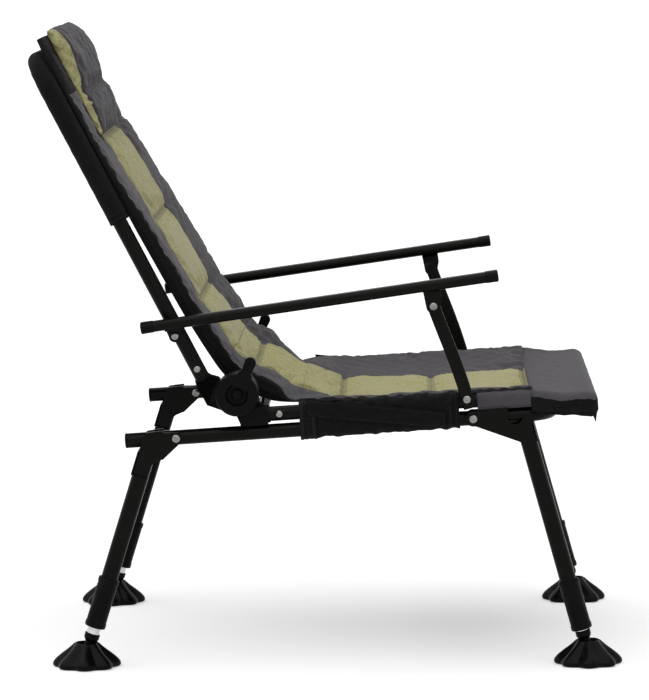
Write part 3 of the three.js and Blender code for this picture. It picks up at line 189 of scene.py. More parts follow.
def revolved(profile: list, origin: Array, axis: Array, count: int = 40, finish: int = 0) -> Form:
    """A profile of (radius, height) turned about an axis.

    Point = origin + height * axis + radius * (cos t * u + sin t * v), with u and v square to the axis.

    Args:
        profile: pairs of radius and height, from end to end.
        origin: point on the axis at height zero.
        axis: direction of growing height.
        count: facets round the axis.
        finish: finish number.

    Returns:
        The turned form.
    """
    w = np.array(axis, float)
    w /= np.linalg.norm(w)
    helper = ACROSS if abs(w[1]) < 0.9 else AHEAD
    u = np.cross(helper, w)
    u /= np.linalg.norm(u)
    v = np.cross(w, u)
    rows = np.array(profile, float)
    t = np.linspace(0, 2 * np.pi, count, endpoint=False)
    ring = np.cos(t)[:, None] * u + np.sin(t)[:, None] * v
    points = np.array(origin) + rows[:, None, 1:2] * w + rows[:, None, 0:1] * ring[None]
    faces = grid_faces(len(rows), count, round_columns=True)
    return Form(points.reshape(-1, 3), faces.tolist(), finish)


def carried(path: Array, section: Array, up: Array, finish: int = 0, scale: Array | None = None) -> Form:
    """A closed section carried along a path, capped at both ends.

    At each station the section's x runs along side = up x tangent, and its y along tangent x side.

    Args:
        path: stations, N by 3.
        section: outline, M by 2.
        up: direction near which the section's y axis starts.
        finish: finish number.
        scale: optional scale of the section at each station.

    Returns:
        The swept form.
    """
    tangent = np.gradient(path, axis=0)
    tangent /= np.linalg.norm(tangent, axis=1)[:, None]
    normals = np.zeros_like(path)
    normal = np.array(up, float)
    for i, direction in enumerate(tangent):
        normal = normal - (normal @ direction) * direction
        normal /= np.linalg.norm(normal)
        normals[i] = normal
    side = np.cross(normals, tangent)
    size = np.ones(len(path)) if scale is None else scale
    points = path[:, None] + size[:, None, None] * (
        section[None, :, 0:1] * side[:, None] + section[None, :, 1:2] * normals[:, None]
    )
    count = len(section)
    faces = grid_faces(len(path), count, round_columns=True).tolist()
    faces.append(list(range(count)))
    faces.append(list(range((len(path) - 1) * count, len(path) * count))[::-1])
    return Form(points.reshape(-1, 3), faces, finish)


def plate(outline: Array, low: float, high: float, finish: int = 0) -> Form:
    """An outline in the XZ plane given thickness along Y.

    Args:
        outline: points x, z in order.
        low: y of one face.
        high: y of the other.
        finish: finish number.

    Returns:
        The closed plate.
    """
    count = len(outline)
    flat = np.insert(outline, 1, 0.0, axis=1)
    points = np.concatenate([flat + [0, low, 0], flat + [0, high, 0]])
    ring = np.arange(count)
    after = (ring + 1) % count
    walls = np.stack([ring, after, after + count, ring + count], axis=1).tolist()
    return Form(points, walls + [ring[::-1].tolist(), (ring + count).tolist()], finish)


def block(low: tuple, high: tuple, finish: int = 0) -> Form:
    """A box between two corners, as a plate."""
    outline = np.array([[low[0], low[2]], [high[0], low[2]], [high[0], high[2]], [low[0], high[2]]])
    return plate(outline, low[1], high[1], finish)


def circle(radius: float, count: int = 32) -> Array:
    """A round section of that radius."""
    t = np.linspace(0, 2 * np.pi, count, endpoint=False)
    return np.stack([radius * np.cos(t), radius * np.sin(t)], axis=1)


def stadium(half_width: float, half_height: float, count: int = 40) -> Array:
    """A flat oval: a rectangle with half-round ends, x along its width."""
    t = np.linspace(0, 2 * np.pi, count, endpoint=False) + np.pi / count
    flat = half_width - half_height
    return np.stack([half_height * np.cos(t) + flat * np.sign(np.cos(t)), half_height * np.sin(t)], axis=1)


def arc(x: float, z: float, radius: float, start: float, stop: float, count: int = 16) -> Array:
    """Points on an arc in the XZ plane, angles in degrees from +x towards +z."""
    t = np.radians(np.linspace(start, stop, count))
    return np.stack([x + radius * np.cos(t), z + radius * np.sin(t)], axis=1)


def rounded(corners: list, radius: float, steps: int = 5) -> Array:
    """A polygon with its corners rounded: each is a quadratic curve between points cut off both edges.

    Args:
        corners: x, z pairs in order.
        radius: length cut off each edge at a corner, at most 45% of the edge.
        steps: points on each curve.

    Returns:
        The rounded outline.
    """
    p = np.array(corners, float)
    before, after = np.roll(p, 1, axis=0) - p, np.roll(p, -1, axis=0) - p
    lb, la = np.linalg.norm(before, axis=1), np.linalg.norm(after, axis=1)
    start = p + before * (np.minimum(radius, 0.45 * lb) / lb)[:, None]
    stop = p + after * (np.minimum(radius, 0.45 * la) / la)[:, None]
    t = np.linspace(0, 1, steps)[None, :, None]
    curve = (1 - t) ** 2 * start[:, None] + 2 * t * (1 - t) * p[:, None] + t**2 * stop[:, None]
    return curve.reshape(-1, 2)


def bent(corners: list, radii: list, steps: int = 14) -> Array:
    """A polyline with its inner corners bent to arcs.

    Args:
        corners: points of the polyline.
        radii: bend radius at each inner corner.
        steps: stations round each bend.

    Returns:
        Stations along the bent line.
    """
    points = [np.array(corner, float) for corner in corners]
    stations = [points[0]]
    for i, radius in enumerate(radii, start=1):
        into = points[i] - points[i - 1]
        out = points[i + 1] - points[i]
        into /= np.linalg.norm(into)
        out /= np.linalg.norm(out)
        turn = math.acos(float(np.clip(into @ out, -1, 1)))
        start = points[i] - into * radius * math.tan(turn / 2)
        inward = out - (out @ into) * into
        inward /= np.linalg.norm(inward)
        t = np.linspace(0, turn, steps)[:, None]
        stations.extend(start + radius * (np.sin(t) * into + (1 - np.cos(t)) * inward))
    stations.append(points[-1])
    return np.array(stations)


def line(start: Array, stop: Array, count: int = 2) -> Array:
    """Stations on a straight line."""
    return np.linspace(np.array(start, float), np.array(stop, float), count)


def lumps(shape: tuple, seed: int, waves: tuple[float, float], count: int = 6) -> Array:
    """A smooth random field over the unit square, mostly within 1.5: a sum of cosines of fixed seed.

    Args:
        shape: rows and columns.
        seed: seed of the field.
        waves: most waves along the rows and the columns.
        count: number of cosines.

    Returns:
        The field.
    """
    rng = np.random.default_rng(seed)
    u, v = np.meshgrid(np.linspace(0, 1, shape[0]), np.linspace(0, 1, shape[1]), indexing="ij")
    total = np.zeros(shape)
    for _ in range(count):
        fu, fv = rng.uniform(0.3, 1, 2) * waves
        total += np.cos(2 * np.pi * (fu * u + rng.choice([-1, 1]) * fv * v + rng.uniform()))
    return total / math.sqrt(count)


# Finishes


class Nodes:
    """A node tree under construction."""

    def __init__(self, tree: bpy.types.NodeTree) -> None:
        """Takes the tree that the nodes go into."""
        self.tree = tree

    def feed(self, socket: Socket, value: object) -> None:
        """Sets a socket to a value, or links it to an output."""
        if isinstance(value, Socket):
            self.tree.links.new(value, socket)
        else:
            socket.default_value = value

    def add(self, kind: str, *given: object, **named: object) -> bpy.types.Node:
        """Adds a node and feeds its sockets, in their order or by name."""
        node = self.tree.nodes.new(f"ShaderNode{kind}")
        for socket, value in zip(node.inputs, given):
            self.feed(socket, value)
        for name, value in named.items():
            self.feed(node.inputs[name], value)
        return node

    def sum(self, operation: str, *values: object) -> Socket:
        """A Math node's result."""
        node = self.add("Math", *values)
        node.operation = operation
        return node.outputs[0]

    def span(self, value: object, low: float, high: float, out_low: float, out_high: float) -> Socket:
        """A value's range mapped to another, clamped."""
        return self.add("MapRange", value, low, high, out_low, out_high).outputs[0]

    def seen(self) -> Socket:
        """1 for camera, transmission and glossy rays, 0 for the rays that light the scene."""
        rays = self.add("LightPath").outputs
        direct = self.sum("MAXIMUM", rays["Is Camera Ray"], rays["Is Transmission Ray"])
        return self.sum("MAXIMUM", direct, rays["Is Glossy Ray"])


class Recipe(Nodes):
    """A material under construction."""

    def __init__(self, name: str) -> None:
        """Starts a material with a principled shader."""
        self.material = bpy.data.materials.new(name)
        self.material.use_nodes = True
        super().__init__(self.material.node_tree)
        self.tree.nodes.clear()
        self.shader = self.add("BsdfPrincipled")
        self.add("OutputMaterial", self.shader.outputs[0])

    def object_place(self, stretch: tuple = (1, 1, 1)) -> Socket:
        """Object coordinates, stretched by a Mapping node."""
        place = self.add("TexCoord").outputs["Object"]
        return self.add("Mapping", Vector=place, Scale=stretch).outputs[0]

    def noise(self, place: Socket, scale: float, detail: float = 3.0) -> Socket:
        """A noise field from 0 to 1."""
        return self.add("TexNoise", Vector=place, Scale=scale, Detail=detail).outputs[0]

    def mix(self, share: object, first: object, second: object) -> Socket:
        """Two colours mixed by a share."""
        node = self.add("Mix")
        node.data_type = "RGBA"
        self.feed(node.inputs["Factor"], share)
        self.feed(node.inputs[6], (*first, 1.0) if isinstance(first, tuple) else first)
        self.feed(node.inputs[7], (*second, 1.0) if isinstance(second, tuple) else second)
        return node.outputs[2]

    def bump(self, height: object, depth: float, strength: float = 1.0) -> None:
        """Adds relief of that depth in metres over what is there."""
        node = self.add("Bump", Strength=strength, Distance=depth, Height=height)
        normal = self.shader.inputs["Normal"]
        if normal.links:
            self.tree.links.new(normal.links[0].from_socket, node.inputs["Normal"])
        self.tree.links.new(node.outputs[0], normal)

    def attribute(self, name: str) -> Socket:
        """A float attribute of the piece."""
        node = self.add("Attribute")
        node.attribute_name = name
        return node.outputs["Fac"]

    def pucker_place(self, run: Socket) -> Socket:
        """Noise coordinates that change only along a seam, one lump about every 9 mm."""
        return self.add("CombineXYZ", self.sum("MULTIPLY", run, 110.0)).outputs[0]

    def set(self, **values: object) -> None:
        """Sets shader sockets by name, with underscores for spaces."""
        for name, value in values.items():
            self.feed(self.shader.inputs[name.replace("_", " ")], value)


@dataclass(frozen=True)
class PowderCoat:
    """Semi-gloss black stove enamel on tube, with faint dust and rubbed streaks."""

    name: str = "black_enamel"
    colour: tuple = (0.0032, 0.0034, 0.0026)
    dust: tuple = (0.010, 0.0102, 0.008)
    gloss: float = 0.24
    specular: float = 0.07

    def make(self) -> Material:
        """Builds the material."""
        r = Recipe(self.name)
        cloud = r.noise(r.object_place(), 14.0, 5.0)
        streak = r.noise(r.object_place((6, 60, 60)), 9.0, 4.0)
        worn = r.sum("MULTIPLY", r.span(cloud, 0.45, 0.75, 0.0, 1.0), r.span(streak, 0.5, 0.7, 0.0, 0.7))
        r.set(Base_Color=r.mix(worn, self.colour, self.dust))
        r.set(Roughness=r.span(cloud, 0.3, 0.7, self.gloss - 0.06, self.gloss + 0.1))
        r.set(Specular_IOR_Level=self.specular)
        r.bump(r.noise(r.object_place(), 900.0, 2.0), 0.00004)
        return r.material


@dataclass(frozen=True)
class MouldedPlastic:
    """Black moulded plastic with a spark-eroded grain."""

    name: str = "moulded_black"
    colour: tuple = (0.0026, 0.0026, 0.0028)
    scuff: tuple = (0.009, 0.009, 0.0093)
    roughness: float = 0.42
    specular: float = 0.06
    grain: float = 650.0

    def make(self) -> Material:
        """Builds the material."""
        r = Recipe(self.name)
        cloud = r.noise(r.object_place(), 22.0, 6.0)
        r.set(Base_Color=r.mix(r.span(cloud, 0.5, 0.8, 0.0, 0.6), self.colour, self.scuff))
        r.set(Roughness=r.span(cloud, 0.3, 0.7, self.roughness - 0.08, self.roughness + 0.1))
        r.set(Specular_IOR_Level=self.specular)
        r.bump(r.noise(r.object_place(), self.grain, 3.0), 0.00012, 0.7)
        return r.material


@dataclass(frozen=True)
class BareMetal:
    """Bright metal with drawing lines and slight tarnish."""

    name: str = "bright_steel"
    colour: tuple = (0.25, 0.25, 0.24)
    tarnish: tuple = (0.08, 0.078, 0.073)
    roughness: float = 0.24
    stretch: tuple = (1, 1, 1)

    def make(self) -> Material:
        """Builds the material."""
        r = Recipe(self.name)
        lines = r.noise(r.object_place(self.stretch), 420.0, 4.0)
        cloud = r.noise(r.object_place(), 60.0, 3.0)
        r.set(Base_Color=r.mix(r.span(cloud, 0.45, 0.75, 0.0, 0.8), self.colour, self.tarnish))
        r.set(Metallic=1.0, Roughness=r.span(lines, 0.3, 0.7, self.roughness - 0.06, self.roughness + 0.12))
        r.bump(lines, 0.00003)
        return r.material


class Weave(Enum):
    """How a cloth is woven."""

    OXFORD = "oxford"
    NYLON = "nylon"
    LOOP = "loop"


@dataclass(frozen=True)
class WovenCloth:
    """Woven cloth, in the piece's own UV map in metres, with stitching beside each seam and painted shade
    darkening the cloth next to each seam.

    The attribute seam_gap is the distance to the nearest seam and seam_run the place along it.
    """

    name: str
    warp: tuple
    weft: tuple
    thread: tuple
    weave: Weave
    pitch: float = 0.0011
    roughness: float = 0.85
    sheen: float = 0.25
    heather: float = 0.5
    specular: float = 0.3
    # reach of the painted shade beside each seam
    painted_seam_shade: float = 0.005
    stitch_gap: float = 0.0045
    stitch_half: float = 0.0006
    stitch_pitch: float = 0.0046
    pucker_reach: float = 0.022
    pucker_depth: float = 0.0015
    thread_relief: float = 0.00022
    crease_depth: float = 0.0007

    def make(self) -> Material:
        """Builds the material."""
        r = Recipe(self.name)
        uv = r.add("UVMap")
        uv.uv_map = "cloth"
        parts = r.add("SeparateXYZ", uv.outputs[0])
        turns = 2 * math.pi / self.pitch
        across = r.sum("SINE", r.sum("MULTIPLY", parts.outputs[0], turns))
        stretch = 0.5 if self.weave is Weave.LOOP else 1
        down = r.sum("SINE", r.sum("MULTIPLY", parts.outputs[1], turns * stretch))
        over = r.sum("MULTIPLY", across, down)
        relief = r.sum("MAXIMUM", across, down) if self.weave is Weave.OXFORD else r.sum("ADD", across, over)
        fibre = r.noise(uv.outputs[0], 1400.0, 2.0)
        slub = r.noise(r.object_place(), 260.0, 4.0)
        cloud = r.noise(r.object_place(), 9.0, 4.0)
        blend = r.span(slub, 0.35, 0.65, 0.5 - self.heather, 0.5 + self.heather)
        share = r.sum("ADD", blend, r.sum("MULTIPLY", over, 0.12))
        colour = r.mix(share, self.warp, self.weft)
        faded = r.mix(r.span(cloud, 0.35, 0.7, 0.0, 0.22), colour, tuple(0.72 * c for c in self.warp))
        gap, run = r.attribute("seam_gap"), r.attribute("seam_run")
        # painted shade: within this reach of a seam the colour is darkened towards 28% of the warp colour
        painted_seam_shade = r.span(gap, 0.0, self.painted_seam_shade, 1.0, 0.0)
        shaded = r.mix(r.sum("MULTIPLY", painted_seam_shade, 0.62), faded, tuple(0.28 * c for c in self.warp))
        beside = r.sum("COMPARE", gap, self.stitch_gap, self.stitch_half)
        dash = r.sum("LESS_THAN", r.sum("FRACT", r.sum("MULTIPLY", run, 1 / self.stitch_pitch)), 0.68)
        stitch = r.sum("MULTIPLY", beside, dash)
        r.set(Base_Color=r.mix(stitch, shaded, self.thread))
        r.set(Roughness=r.span(fibre, 0.3, 0.7, self.roughness - 0.06, self.roughness + 0.08))
        r.set(Sheen_Weight=self.sheen, Sheen_Roughness=0.5, Specular_IOR_Level=self.specular)
        r.bump(r.sum("ADD", r.sum("MULTIPLY", relief, 0.3), fibre), self.thread_relief, 0.8)
        pucker = r.noise(r.pucker_place(run), 1.0, 2.0)
        pull = r.sum("MULTIPLY", r.span(gap, 0.0, self.pucker_reach, 1.0, 0.0), pucker)
        r.bump(r.sum("ADD", pull, r.sum("MULTIPLY", stitch, 0.5)), self.pucker_depth, 0.7)
        r.bump(r.noise(r.object_place(), 42.0, 3.0), self.crease_depth, 0.4)
        return r.material


@dataclass(frozen=True)
class Finishes:
    """The chair's finishes, built once."""

    enamel: Material = field(default_factory=PowderCoat().make)
    plastic: Material = field(default_factory=MouldedPlastic().make)
    foot: Material = field(default_factory=MouldedPlastic("foot_black", roughness=0.3, grain=300.0).make)
    steel: Material = field(default_factory=BareMetal().make)
    silver: Material = field(
        default_factory=BareMetal(
            "drawn_aluminium", (0.62, 0.63, 0.64), (0.46, 0.46, 0.46), 0.28, (1, 1, 0.04)
        ).make
    )
    olive: Material = field(
        default_factory=WovenCloth(
            "olive_oxford", (0.33, 0.31, 0.135), (0.47, 0.445, 0.215), (0.16, 0.15, 0.07), Weave.OXFORD
        ).make
    )
    grey: Material = field(
        default_factory=WovenCloth(
            "grey_nylon", (0.058, 0.0535, 0.060), (0.082, 0.076, 0.084), (0.03, 0.028, 0.03), Weave.NYLON,
            sheen=0.16, heather=0.12, specular=0.2
        ).make
    )
    black: Material = field(
        default_factory=WovenCloth(
            "black_nylon", (0.0042, 0.0042, 0.0046), (0.008, 0.008, 0.0085), (0.016, 0.016, 0.016),
            Weave.NYLON, sheen=0.02, specular=0.1
        ).make
    )
    loop: Material = field(
        default_factory=WovenCloth(
            "black_loop", (0.005, 0.005, 0.0055), (0.013, 0.013, 0.0135), (0.02, 0.02, 0.02), Weave.LOOP,
            pitch=0.0016, sheen=0.05, specular=0.1
        ).make
    )


# Pieces


def body_of(node: str) -> str:
    """The CAD body that a node rides on."""
    return frame["nodes"][node]["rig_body"]


def joined(forms: list[Form]) -> tuple[Array, list, Array]:
    """Forms put together: points, faces and the finish number of each face."""
    starts = np.cumsum([0] + [len(form.points) for form in forms[:-1]])
    faces = [[int(i) + int(start) for i in face] for form, start in zip(forms, starts) for face in form.faces]
    marks = np.concatenate([np.full(len(form.faces), form.finish) for form in forms])
    return np.concatenate([form.points for form in forms]), faces, marks


def stand_for(piece: Piece, node: str, replaces: bool = True) -> None:
    """Hides the CAD node that a piece stands for, where it replaces it, and logs the piece's faces.

    Args:
        piece: the piece.
        node: CAD node.
        replaces: False for a piece that only lies over what stands for the node.
    """
    if replaces:
        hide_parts(node)
    log.info("%s stands for %s, %d faces", piece.name, node, len(piece.data.polygons))


def linked(name: str, data: bpy.types.ID) -> Piece:
    """A new object in the scene."""
    thing = bpy.data.objects.new(name, data)
    bpy.context.scene.collection.objects.link(thing)
    return thing


def placed(name: str, mesh: bpy.types.Mesh, finishes: list[Material]) -> Piece:
    """Puts a smooth-shaded mesh with its materials into the scene."""
    for material in finishes:
        mesh.materials.append(material)
    mesh.shade_smooth()
    return linked(name, mesh)


@contextmanager
def edited(mesh: bpy.types.Mesh) -> Iterator[bmesh.types.BMesh]:
    """Opens a mesh for an edit, and writes the edit back."""
    work = bmesh.new()
    work.from_mesh(mesh)
    work.verts.ensure_lookup_table()
    yield work
    work.to_mesh(mesh)
    work.free()


def rigid(
    name: str, forms: list[Form], slant: Slant, finishes: list[Material], node: str, bevel: float
) -> None:
    """Makes a rigid piece that stands for a CAD node.

    Args:
        name: piece name.
        forms: closed forms in the frame of their sub-assembly.
        slant: that frame.
        finishes: materials in the order of the forms' finish numbers.
        node: CAD node that it replaces.
        bevel: width of the rounded edges, or 0.
    """
    points, faces, marks = joined([form.moved(slant) for form in forms])
    mesh = bpy.data.meshes.new(name)
    mesh.from_pydata(points.tolist(), [], faces)
    mesh.polygons.foreach_set("material_index", marks.astype(np.int32))
    with edited(mesh) as work:
        bmesh.ops.remove_doubles(work, verts=work.verts, dist=1e-6)
        bmesh.ops.dissolve_degenerate(work, edges=work.edges, dist=1e-7)
        bmesh.ops.recalc_face_normals(work, faces=work.faces)
    piece = placed(name, mesh, finishes)
    if bevel:
        edge = piece.modifiers.new("edges", "BEVEL")
        edge.width, edge.segments, edge.limit_method = bevel, 2, "ANGLE"
        edge.angle_limit = math.radians(38)
        piece.modifiers.new("normals", "WEIGHTED_NORMAL").keep_sharp = True
    else:
        mesh.set_sharp_from_angle(angle=math.radians(40))
    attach(piece, body_of(node))
    stand_for(piece, node)


@dataclass
class ClothGrid:
    """A cloth surface on a grid, with its UV in metres and its seam attributes."""

    points: Array
    uv: Array
    gap: Array
    run: Array

    def refined(self) -> "ClothGrid":
        """The grid with a point between each two: value = 9/16 of the near pair less 1/16 of the far pair."""
        return ClothGrid(*(halved(value) for value in (self.points, self.uv, self.gap, self.run)))

    def rows(self, low: int, high: int) -> "ClothGrid":
        """The rows from low to high, both kept."""
        part = slice(low, high + 1)
        return ClothGrid(self.points[part], self.uv[part], self.gap[part], self.run[part])


def halved(values: Array) -> Array:
    """Midpoints put between the rows and columns of a grid by cubic interpolation."""
    for axis in (0, 1):
        v = np.moveaxis(values, axis, 0)
        padded = np.concatenate([2 * v[:1] - v[1:2], v, 2 * v[-1:] - v[-2:-1]])
        middle = (9 * (padded[1:-2] + padded[2:-1]) - padded[:-3] - padded[3:]) / 16
        out = np.empty((2 * len(v) - 1, *v.shape[1:]))
        out[0::2], out[1::2] = v, middle
        values = np.moveaxis(out, 0, axis)
    return values


def smoothed(values: Array, width: int) -> Array:
    """Rows averaged over a raised-cosine window of that half width, ends carried on in a straight line."""
    window = np.hanning(2 * width + 3)[1:-1]
    window /= window.sum()
    lead = np.arange(width, 0, -1)[:, None]
    flat = values.reshape(len(values), -1)
    before = flat[0] + lead * (flat[0] - flat[1])
    after = flat[-1] + lead[::-1] * (flat[-1] - flat[-2])
    whole = np.concatenate([before, flat, after])
    kept = np.stack([np.convolve(column, window, "valid") for column in whole.T], axis=1)
    return kept.reshape(values.shape)


def soft(
    name: str, grid: ClothGrid, finishes: list[Material], marks: Array | int = 0, round_columns: bool = False
) -> Piece:
    """Makes a cloth piece from a grid.

    Args:
        name: piece name.
        grid: the cloth.
        finishes: materials.
        marks: finish number of each quad, or of all.
        round_columns: the last column joins the first.

    Returns:
        The piece, not riding yet.
    """
    rows, columns = grid.points.shape[:2]
    mesh = bpy.data.meshes.new(name)
    faces = grid_faces(rows, columns, round_columns=round_columns)
    mesh.from_pydata(grid.points.reshape(-1, 3).tolist(), [], faces.tolist())
    mesh.polygons.foreach_set("material_index", np.broadcast_to(np.ravel(marks), len(faces)).astype(np.int32))
    layer = mesh.uv_layers.new(name="cloth")
    corner = np.empty(len(mesh.loops), np.int32)
    mesh.loops.foreach_get("vertex_index", corner)
    layer.data.foreach_set("uv", grid.uv.reshape(-1, 2)[corner].astype(np.float32).ravel())
    for label, values in (("seam_gap", grid.gap), ("seam_run", grid.run)):
        attribute = mesh.attributes.new(label, "FLOAT", "POINT")
        attribute.data.foreach_set("value", values.astype(np.float32).ravel())
    piece = placed(name, mesh, finishes)
    mesh.update()
    return piece


def face_outwards(piece: Piece, merge: float = 0.0) -> None:
    """Merges doubles and points the faces of a closed piece outwards."""
    with edited(piece.data) as work:
        if merge:
            bmesh.ops.remove_doubles(work, verts=work.verts, dist=merge)
        bmesh.ops.recalc_face_normals(work, faces=work.faces)


def face_towards(piece: Piece, direction: Array) -> None:
    """Flips an open cloth whose first 200 faces look away from a direction."""
    normals = np.array([face.normal for face in list(piece.data.polygons)[:200]])
    if normals.mean(axis=0) @ direction < 0:
        piece.data.flip_normals()


def area_of(points: Array) -> float:
    """Area of a grid, from the cross products of its cells' diagonals."""
    a = points[1:, 1:] - points[:-1, :-1]
    b = points[1:, :-1] - points[:-1, 1:]
    return 0.5 * float(np.linalg.norm(np.cross(a, b), axis=-1).sum())


def stretched(
    piece: Piece,
    node: str,
    thickness: float,
    flat: tuple[float, float],
    rests_on: str,
    replaces: bool = True,
    **area: float,
) -> None:
    """Gives a sheet its thickness, rides it on its node's body and hides the node where it replaces it.

    Args:
        piece: the sheet.
        node: CAD node that it stands for or lies over, and rides with.
        thickness: thickness of the cloth.
        flat: width and length of the flat cloth; not used.
        rests_on: CAD node or piece that it lies on; not used.
        replaces: True where it stands for the node.
        area: area of the flat cloth, where it isn't width times length; not used.
    """
    wall = piece.modifiers.new("cloth", "SOLIDIFY")
    wall.thickness, wall.offset = thickness, -1.0
    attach(piece, body_of(node))
    stand_for(piece, node, replaces)


@dataclass(frozen=True)
class Filling:
    """How a cloth simulation fills a sewn shape."""

    pressure: float = 1.6
    slack: float = 0.03
    extra: float = 0.0
    frames: int = 20
    cap: float = 0.010
    bending: float = 0.6

    def run(self, points: Array, faces: Array, sewn: Array, loose: Array | None = None) -> Array:
        """Blows the cloth up between its sewn points.

        Args:
            points: start shape, N by 3.
            faces: quads.
            sewn: True where a point is held.
            loose: share of the extra slack at each point.

        Returns:
            The filled points, each within the cap of its start.
        """
        away = np.array([3.0, 0.0, 3.0])
        mesh = bpy.data.meshes.new("filling")
        mesh.from_pydata((points + away).tolist(), [], faces.tolist())
        cover = linked("filling", mesh)
        held = cover.vertex_groups.new(name="sewn")
        held.add(np.flatnonzero(sewn).tolist(), 1.0, "REPLACE")
        cloth = cover.modifiers.new("cloth", "CLOTH")
        s = cloth.settings
        s.quality, s.mass = 6, 0.3
        s.tension_stiffness = s.compression_stiffness = 30.0
        s.shear_stiffness, s.bending_stiffness = 12.0, self.bending
        s.air_damping = 4.0
        s.use_pressure, s.uniform_pressure_force = True, self.pressure
        s.effector_weights.gravity = 0.0
        s.vertex_group_mass = "sewn"
        s.pin_stiffness = 1.0
        s.shrink_min = -self.slack
        if loose is not None:
            spare = cover.vertex_groups.new(name="loose")
            for level in np.unique(np.round(loose, 1)):
                if level > 0:
                    spare.add(np.flatnonzero(np.round(loose, 1) == level).tolist(), float(level), "REPLACE")
            s.vertex_group_shrink = "loose"
            s.shrink_max = -self.extra
        cloth.collision_settings.use_collision = False
        cloth.point_cache.frame_start, cloth.point_cache.frame_end = 1, self.frames
        scene = bpy.context.scene
        for number in range(1, self.frames + 1):
            scene.frame_set(number)
        shown = cover.evaluated_get(bpy.context.evaluated_depsgraph_get())
        filled = np.empty(len(points) * 3, np.float32)
        shown.data.vertices.foreach_get("co", filled)
        scene.frame_set(1)
        bpy.data.objects.remove(cover)
        moved = filled.reshape(-1, 3) - away - points
        far = np.linalg.norm(moved, axis=1)
        log.info("filling moved the cloth %.1f mm at most, %.1f mm on average",
                 far.max() / MM, far.mean() / MM)
        return points + moved * np.minimum(1, self.cap / np.maximum(far, 1e-9))[:, None]


# Frames


@dataclass
class TubeFrames:
    """The three bent frames of painted tube, with the rear end plugs."""

    finishes: Finishes
    rear_reach: float = 0.073
    front_reach: float = 0.555
    rail_corner: float = 0.036
    cross_reach: float = 0.118
    cross_radius: float = 0.0094
    cross_inset: float = 0.009
    bead_inset: float = 0.0108
    seat_start: float = 0.1372
    seat_bends: tuple = (0.09, 0.02, 0.036)
    boss_inset: float = 0.004
    boss_bead: float = 0.0095
    tube_mouth: float = 0.042

    def build(self) -> None:
        """Builds the frames and plugs."""
        self.section = circle(LAYOUT.tube, 36)
        self.lower_frame()
        self.seat_frame()
        self.back_frame()
        self.plugs()

    def lower_frame(self) -> None:
        """The bent rail that carries the legs, with its welded cross tube."""
        h, cross = LAYOUT.half_track, self.cross_reach
        rear, front, reach = -self.rear_reach, self.front_reach, LAYOUT.half_track - self.cross_inset
        rail = bent([[rear, h, 0], [front, h, 0], [front, -h, 0], [rear, -h, 0]], [self.rail_corner] * 2)
        forms = [
            carried(rail, self.section, UP),
            carried(line([cross, -reach, 0], [cross, reach, 0], 3), circle(self.cross_radius), UP),
        ]
        for sign in SIDES.values():
            forms.append(self.weld([cross, sign * (h - self.bead_inset), 0], [0, sign, 0], 0.0098))
        rigid("lower_frame_tube", forms, LAYOUT.rail, [self.finishes.enamel], "lower_frame", 0)

    def seat_frame(self) -> None:
        """The bent tube above the rail, which drops to the front bar, with the bosses of the struts."""
        h, rise, low = LAYOUT.half_track, LAYOUT.seat_rise, LAYOUT.front_rise
        start, stop = LAYOUT.drop_start, LAYOUT.drop_start + LAYOUT.drop_run
        ends = [[self.seat_start, rise], [start, rise], [stop, low], [LAYOUT.front_bar, low]]
        corners = [[x, h, z] for x, z in ends] + [[x, -h, z] for x, z in ends[::-1]]
        forms = [carried(bent(corners, [*self.seat_bends, *self.seat_bends[::-1]]), self.section, UP)]
        boss = [(0, 0), (0.0074, 0), (0.007, 0.001), (0.007, 0.0128), (0.0062, 0.0136), (0, 0.0136)]
        x, z = LAYOUT.strut_foot
        for sign in SIDES.values():
            forms.append(revolved(boss, [x, sign * (h + self.boss_inset), z], [0, sign, 0]))
            forms.append(self.weld([x, sign * (h + self.boss_bead), z], [0, sign, 0], 0.0076))
        rigid("seat_frame_tube", forms, LAYOUT.rail, [self.finishes.enamel], "seat_frame", 0)

    def back_frame(self) -> None:
        """The bent tube of the backrest."""
        h, o, top, mouth = LAYOUT.half_track, LAYOUT.back_offset, LAYOUT.back_length, self.tube_mouth
        path = bent([[mouth, h, o], [top, h, o], [top, -h, o], [mouth, -h, o]], [LAYOUT.back_corner] * 2)
        form = carried(path, self.section, UP)
        rigid("back_frame_tube", [form], LAYOUT.back, [self.finishes.enamel], "back_frame", 0)

    def plugs(self) -> None:
        """The domed plugs in the rear ends of the rail."""
        cap = [
            (0, -0.0002), (0.0098, -0.0002), (0.0112, 0.0006), (0.0112, 0.0022), (0.0098, 0.0033),
            (0.006, 0.0037), (0, 0.0038),
        ]
        for side, sign in SIDES.items():
            plug = revolved(cap, [-self.rear_reach, sign * LAYOUT.half_track, 0], [-1, 0, 0])
            name, node = f"rail_end_plug_{side}", f"frame_plug_{side}"
            rigid(name, [plug], LAYOUT.rail, [self.finishes.plastic], node, 0)

    def weld(self, origin: list, axis: list, radius: float) -> Form:
        """A weld bead: a ring whose own radius ripples, bead = 1.4 mm * (1 + 0.16 cos 18t).

        Args:
            origin: centre of the ring.
            axis: direction of the welded tube.
            radius: radius of the ring.

        Returns:
            The bead.
        """
        around, about = 72, 10
        t = np.linspace(0, 2 * np.pi, around, endpoint=False)
        s = np.linspace(0, 2 * np.pi, about, endpoint=False)[None, :, None]
        bead = (0.0014 * (1 + 0.16 * np.cos(18 * t)))[:, None, None]
        w = np.array(axis, float)
        ring = np.cos(t)[:, None] * AHEAD + np.sin(t)[:, None] * np.cross(w, AHEAD)
        points = np.array(origin) + (radius + bead * np.cos(s)) * ring[:, None] + bead * np.sin(s) * w
        return Form(points.reshape(-1, 3), grid_faces(around, about, True, True).tolist())


